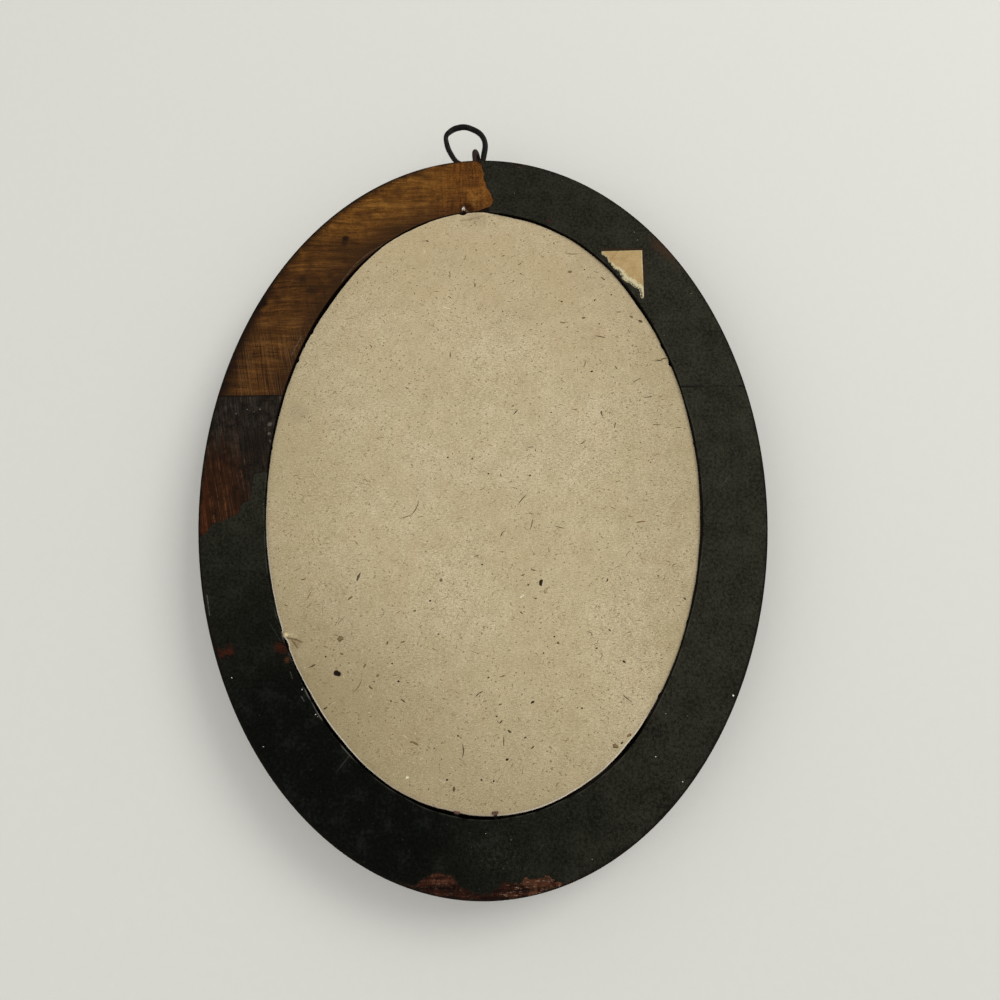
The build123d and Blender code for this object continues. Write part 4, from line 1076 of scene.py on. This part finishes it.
def grey_board():
    """Pulp board: warm grey-buff, softly mottled with the felt's marks, peppered with fine dots,
    with painted shade in creases at the top, a painted highlight on its raised flap and painted shade
    beneath it, painted shade in its pin holes, a painted highlight and bruises on its cut edge, and
    painted shade on its side."""
    bench = Bench("flecked pulp board")
    x, z, rim = bench.x, bench.z, bench.mark("rim")
    cloud = bench.noise(0.03, 3)
    felt = bench.noise(1.8, 4, 0.75, stretch=(0.55, 1, 1.5))
    wool = bench.noise(3.6, 3, 0.75, 4)
    haze = bench.noise(0.28, 3, shift=9)
    pink = bench.noise(0.12, 2, shift=6)

    tone = felt * 0.40 + wool * 0.50 + haze * 0.10
    colour = bench.mix((144, 127, 92), (218, 204, 170), tone.between(0.36, 0.64))
    colour = colour.under(194, 156, 122, pink.between(0.55, 0.70) * 0.10)
    colour = colour.under(174, 156, 116, cloud.between(0.35, 0.65) * 0.35)
    colour = colour.under(172, 150, 114, (z + cloud.sway(30)).between(20, 90) * 0.35)
    colour = colour.under(136, 121, 86, (z + x * -0.45).between(-30, -110) * 0.55)
    verge = abs(x).between(24, 66) * 0.22 + near(bench, (40, -62, 46, 0.9, 0.22))
    colour = colour.under(120, 104, 70, verge)
    dots = bench.cells(0.62, shift=2).between(0.22, 0.11) * haze.between(0.46, 0.56)
    colour = colour.under(84, 72, 50, dots * 0.6)
    dust = bench.cells(1.6, shift=5).between(0.24, 0.12) * felt.between(0.48, 0.56)
    colour = colour.under(104, 90, 64, dust * 0.6)

    grey = near(bench, (2, 91.9, 5, 0.9, 0.5)) * felt.between(0.36, 0.6)
    grey = grey + near(bench, (-10, 56, 9, 0.9, 0.12), (57, 24, 5, 0.9, 0.3), (-32, 70, 12, 0.9, 0.12))
    colour = colour.under(112, 106, 88, grey.unit() * 0.6)
    # Painted shade in the creases round the dent at the top
    crease_shade = stroke(bench, (6.6, 90.8, 3.3, 91.3, 0.7, 1), (3.3, 91.3, -0.4, 92.2, 0.7, 0.8),
                     (-1.2, 92.6, -1, 88.6, 0.7, 0.6), (6.4, 90, 5, 89, 0.8, 0.5))
    colour = colour.under(104, 94, 66, (crease_shade * wool.between(0.30, 0.56)).unit() * 0.5)
    # Painted shade beneath the raised flap at the lower left of the page, with a crease at the upper right;
    # then a painted highlight on the flap
    flap_shade_and_crease = stroke(bench, (56.6, -44.1, 54, -44.6, 0.42, 1), (54, -44.6, 52.2, -45.4, 0.3, 1),
                   (55.2, -44.8, 53.4, -47, 0.3, 1), (-57.4, 41.2, -53.6, 40.4, 0.2, 0.7))
    colour = colour.under(84, 66, 36, (flap_shade_and_crease * wool.between(0.28, 0.48)).unit() * 0.85)
    lit = stroke(bench, (56.2, -43, 54, -43.8, 0.8, 0.5)) * wool.between(0.36, 0.6)
    lit = lit + near(bench, (57, -43.2, 0.9, 0.8, 1))
    colour = colour.under(226, 208, 162, lit * 0.8)
    # Painted shade in pin holes
    pin = near(bench, (42.1, -54.1, 0.95, 0.35, 1), (41.4, -54.4, 0.8, 0.35, 1), (26.4, -62, 0.3, 0.5, 1))
    colour = colour.under(28, 17, 14, pin)
    soil = near(bench, (54, -45.5, 2.3, 0.8, 0.6)) * wool.between(0.42, 0.6)
    colour = colour.under(92, 60, 34, soil)

    bruise = rim.between(1, 0.2) * z.between(-76, -90) * felt.between(0.3, 0.6)
    colour = colour.under(152, 134, 118, bruise * 0.5)
    # Painted highlight along the board's cut edge, strongest towards the lower left of the page
    pale = near(bench, (54, -50, 62, 0.8, 1), (-28, -80, 36, 0.7, 0.7)) + 0.18
    pale = rim.between(0.55, 0.22) * pale.unit() * wool.between(0.22, 0.58)
    colour = colour.under(236, 226, 206, pale)
    # Painted shade on the outermost lip of the cut edge, wherever the painted highlight is not
    crease = (rim + wool.sway(0.25)).between(0.22, 0.02) * (1 - pale)
    colour = colour.under(116, 98, 70, crease * 0.5)
    # Painted shade on the board's cut side, down in the gap round it
    colour = colour.under(52, 42, 30, bench.y.between(-1.45, -1.8) * 0.8)
    height = felt * 0.5 + wool * 0.35 - pin * 1.4 - dust * 0.2
    return bench.finish(colour, 0.86 + felt.sway(0.15), height, 0.45, 0.0003, Specular_IOR_Level=0.1)


def by_tone(name, stops):
    """A finish for many small bits in one piece: each bit's tone picks its colour on a scale, and
    fine noise breaks it up."""
    bench = Bench(name)
    fine = bench.noise(2.4, 3)
    colour = bench.ramp(bench.mark("tone") + fine.sway(0.25), stops)
    return bench.finish(colour, 0.8 + fine.sway(0.2), fine, 0.2, 0.0001, Specular_IOR_Level=0.15)


def tan_label():
    """Aged tan label paper: rubbed, with a faint fold, pale cut edges, and a torn fringe of pale
    yellowish fibres with dark fuzz where the dark paper's skin shows."""
    bench = Bench("tan label")
    x, z, tear = bench.x, bench.z, bench.mark("tear")
    cloud = bench.noise(0.22, 3)
    fine = bench.noise(2)
    fuzz = bench.noise(1.3, 5, 0.7, 3)
    colour = bench.mix((156, 130, 86), (182, 156, 108), (cloud * 0.6 + fine * 0.4).between(0.35, 0.65))
    low = z.between(76.6, 69)
    layer = (tear + fuzz.sway(3.4) + fine.sway(1.4) - low * 1.5).between(0.75, 0)
    fibres = bench.mix((206, 192, 146), (196, 190, 162), fine.between(0.4, 0.6))
    colour = bench.mix(colour, fibres, layer * 0.85)
    bite = (tear + fuzz.sway(2.6) - low * 0.35).between(0.55, 0.2)
    bite = bite * (fuzz * 0.5 + fine * 0.5).between(0.42, 0.54)
    colour = colour.under(52, 50, 44, bite * 0.9)
    cut = ((78.55 - z).between(0.35, 0.1) + (x + 52.1).between(0.35, 0.1)).unit()
    colour = colour.under(206, 190, 152, cut * fine.between(0.34, 0.6) * 0.6)
    crease = abs(x * 0.8 + z * 0.6 - 11.6 + cloud.sway(1.5)).between(0.5, 0.1)
    colour = colour.under(140, 114, 72, crease * 0.4)
    height = fine * 0.4 + layer * -0.5 + fuzz * layer * 0.8
    return bench.finish(colour, 0.78 + fine.sway(0.1), height, 0.35, 0.0002, Specular_IOR_Level=0.15)


def blank_card():
    """Blank cream card, foxed and a little toned towards its edge; its back is painted near-black brown, as
    shade in the gap round the board.
    """
    bench = Bench("blank card")
    cloud = bench.noise(0.04)
    fine = bench.noise(1.6)
    colour = bench.mix((232, 222, 198), (222, 209, 180), (cloud * 0.6 + fine * 0.4).between(0.35, 0.65))
    colour = colour.under(198, 172, 130, (inset_of(bench) + cloud.sway(14)).between(36, 25) * 0.6)
    fox = bench.cells(0.11, shift=3).between(0.14, 0.02) * bench.noise(0.9).between(0.4, 0.62)
    colour = colour.under(168, 124, 76, fox * 0.45)
    # Painted shade: the card's back is near black, so that the gap round the board looks dark
    colour = bench.mix(colour, bench.mix((16, 12, 8), (40, 30, 20), fine), bench.y.between(-3.8, -3.5))
    return bench.finish(colour, 0.82 + fine.sway(0.1), fine * 0.6 + cloud * 0.3, 0.2, 0.0001,
                        Specular_IOR_Level=0.2)


# ---- finishes of metal, gilt and glass

def rusty(name, dark, brown, bright, shine, lumps=0.9, polished=None, shaded=False):
    """Old steel wire: dark skin with brown rust in patches and bare bright spots on top. Where
    `shaded` is set, painted shade darkens it beyond the rebate's edge, over the gap; `polished` gives a
    place rubbed bright."""
    bench = Bench(name)
    patch = bench.noise(lumps, 5, 0.65)
    fine = bench.noise(lumps * 5, shift=3)
    pits = bench.cells(lumps * 3, shift=1).between(0.20, 0.05)
    colour = bench.mix(dark, brown, (patch * 0.7 + fine * 0.4).between(0.42, 0.66))
    bare = (patch * 0.5 + fine * 0.5).between(0.60, 0.70) * (1 - pits)
    if polished:
        bare = (bare * 0.5 + near(bench, polished)).unit()
    colour = colour.under(*bright, bare * shine)
    # Painted shade where the wire crosses the dark gap beyond the rebate's edge
    if shaded:
        colour = colour.under(12, 8, 6, inset_of(bench).between(21.3, 21))
    return bench.finish(colour, 0.75 - bare * 0.4 + fine.sway(0.2), fine * 0.5 + patch * 0.4 - pits * 0.6,
                        0.4, 0.00012, Metallic=bare * shine, Specular_IOR_Level=0.2)


def ring_iron():
    """Black iron wire: thin scale, worn grey in streaks along its upper side, partly as a painted
    highlight, rusty where it rubs in the staple."""
    bench = Bench("black iron ring")
    z = bench.z
    patch = bench.noise(0.5)
    fine = bench.noise(3, shift=2)
    drawn = bench.noise(1.4, 5, shift=6)
    colour = bench.mix((4, 4, 3), (15, 14, 12), (fine * 0.5 + drawn * 0.5).between(0.35, 0.65))
    # Grey on the ring's upper part: partly wear, partly a painted highlight
    worn = (patch * 0.5 + fine * 0.5).between(0.52, 0.64) * (z - 117).between(0, 4)
    colour = colour.under(78, 74, 64, worn * 0.35)
    rust = (z + patch.sway(4)).between(118, 114.5) * fine.between(0.35, 0.6)
    colour = colour.under(48, 30, 18, rust * 0.8)
    return bench.finish(colour, 0.5 + rust * 0.3 + drawn.sway(0.2), fine * 0.5 + drawn * 0.5, 0.4, 0.00015,
                        Metallic=0.1 + worn * 0.3, Specular_IOR_Level=0.12)


def old_gilt():
    """Gold leaf on a thin slip: warm gold with faint laps between its leaves, rubbed to red clay in
    places."""
    bench = Bench("old gilt")
    cloud = bench.noise(0.25)
    fine = bench.noise(2.5)
    rubbed = (cloud * 0.6 + fine * 0.4).between(0.56, 0.66)
    lap = abs((bench.x * 0.05 + bench.z * 0.11).math("FRACT") - 0.5).between(0.485, 0.5)
    colour = bench.mix((196, 158, 88), (168, 126, 62), cloud)
    colour = colour.under(120, 58, 36, rubbed * 0.75)
    colour = colour.under(150, 112, 56, lap * 0.5)
    return bench.finish(colour, 0.36 + rubbed * 0.35 + fine.sway(0.15), fine * 0.4 - rubbed * 0.5,
                        0.3, 0.0001, Metallic=0.85 - rubbed * 0.75)


def old_glass():
    """Clear glass with a trace of green, faint dust and wipe marks."""
    bench = Bench("old glass")
    dust = bench.noise(0.8, 5)
    wipe = bench.noise(0.6, 3, stretch=(0.3, 1, 1.6))
    sheen = bench.node("ShaderNodeLayerWeight", {}, {"Blend": 0.5}, out="Facing") ** 4
    film = (dust * 0.6 + wipe * 0.4).between(0.5, 0.75)
    return bench.finish(bench.mix((96, 112, 104), (150, 158, 150), dust), 0.03 + film * 0.07,
                        wipe, 0.02, 0.00005, Alpha=(0.05 + film * 0.05 + sheen * 0.5).unit())


# ---- putting it together

bpy.context.scene.view_settings.view_transform = "Standard"
set_camera()
set_floor()
set_world()
lamp("key", (-0.75, 0.9, 0.55), 0.6, 7.0)
lamp("fill", (0.8, 0.8, -0.3), 0.8, 1.8)
lamp("front key", (0.7, -0.9, 0.6), 0.6, 9.0)
lamp("front fill", (-0.8, -0.8, -0.2), 0.8, 4.0)

for kind in ("top", "right", "bottom", "left"):
    dress(kind + "_segment", rail_wood(kind))
dress("gilt_slip", old_gilt())
dress("picture_card", blank_card())
dress("backing_brads", rusty("rusty brads", (58, 40, 32), (118, 88, 72), (170, 150, 138), 0.4, 2.2,
                             shaded=True))
dress("bent_brad", rusty("bent brad", (58, 46, 36), (110, 84, 58), (216, 212, 204), 0.85,
                         polished=(6, 95.3, 1, 0.5, 1)))
make_glass(old_glass())
make_staple(rusty("rusty staple", (20, 13, 9), (50, 31, 20), (106, 84, 78), 0.4, 1.4))
make_ring(ring_iron())

make_backing_paper(dark_paper())
make_backing_board(grey_board())
make_board_fibres(by_tone("board fibres", (
    (0, 34, 28, 18), (0.18, 84, 72, 46), (0.38, 118, 104, 70), (0.48, 136, 102, 66), (0.65, 130, 116, 82),
    (0.85, 198, 184, 148), (1, 222, 210, 178))))
make_label_corner(tan_label())
make_paper_dust(by_tone("pale dust", (
    (0, 84, 48, 24), (0.4, 98, 70, 44), (0.7, 150, 146, 132), (1, 222, 220, 210))))
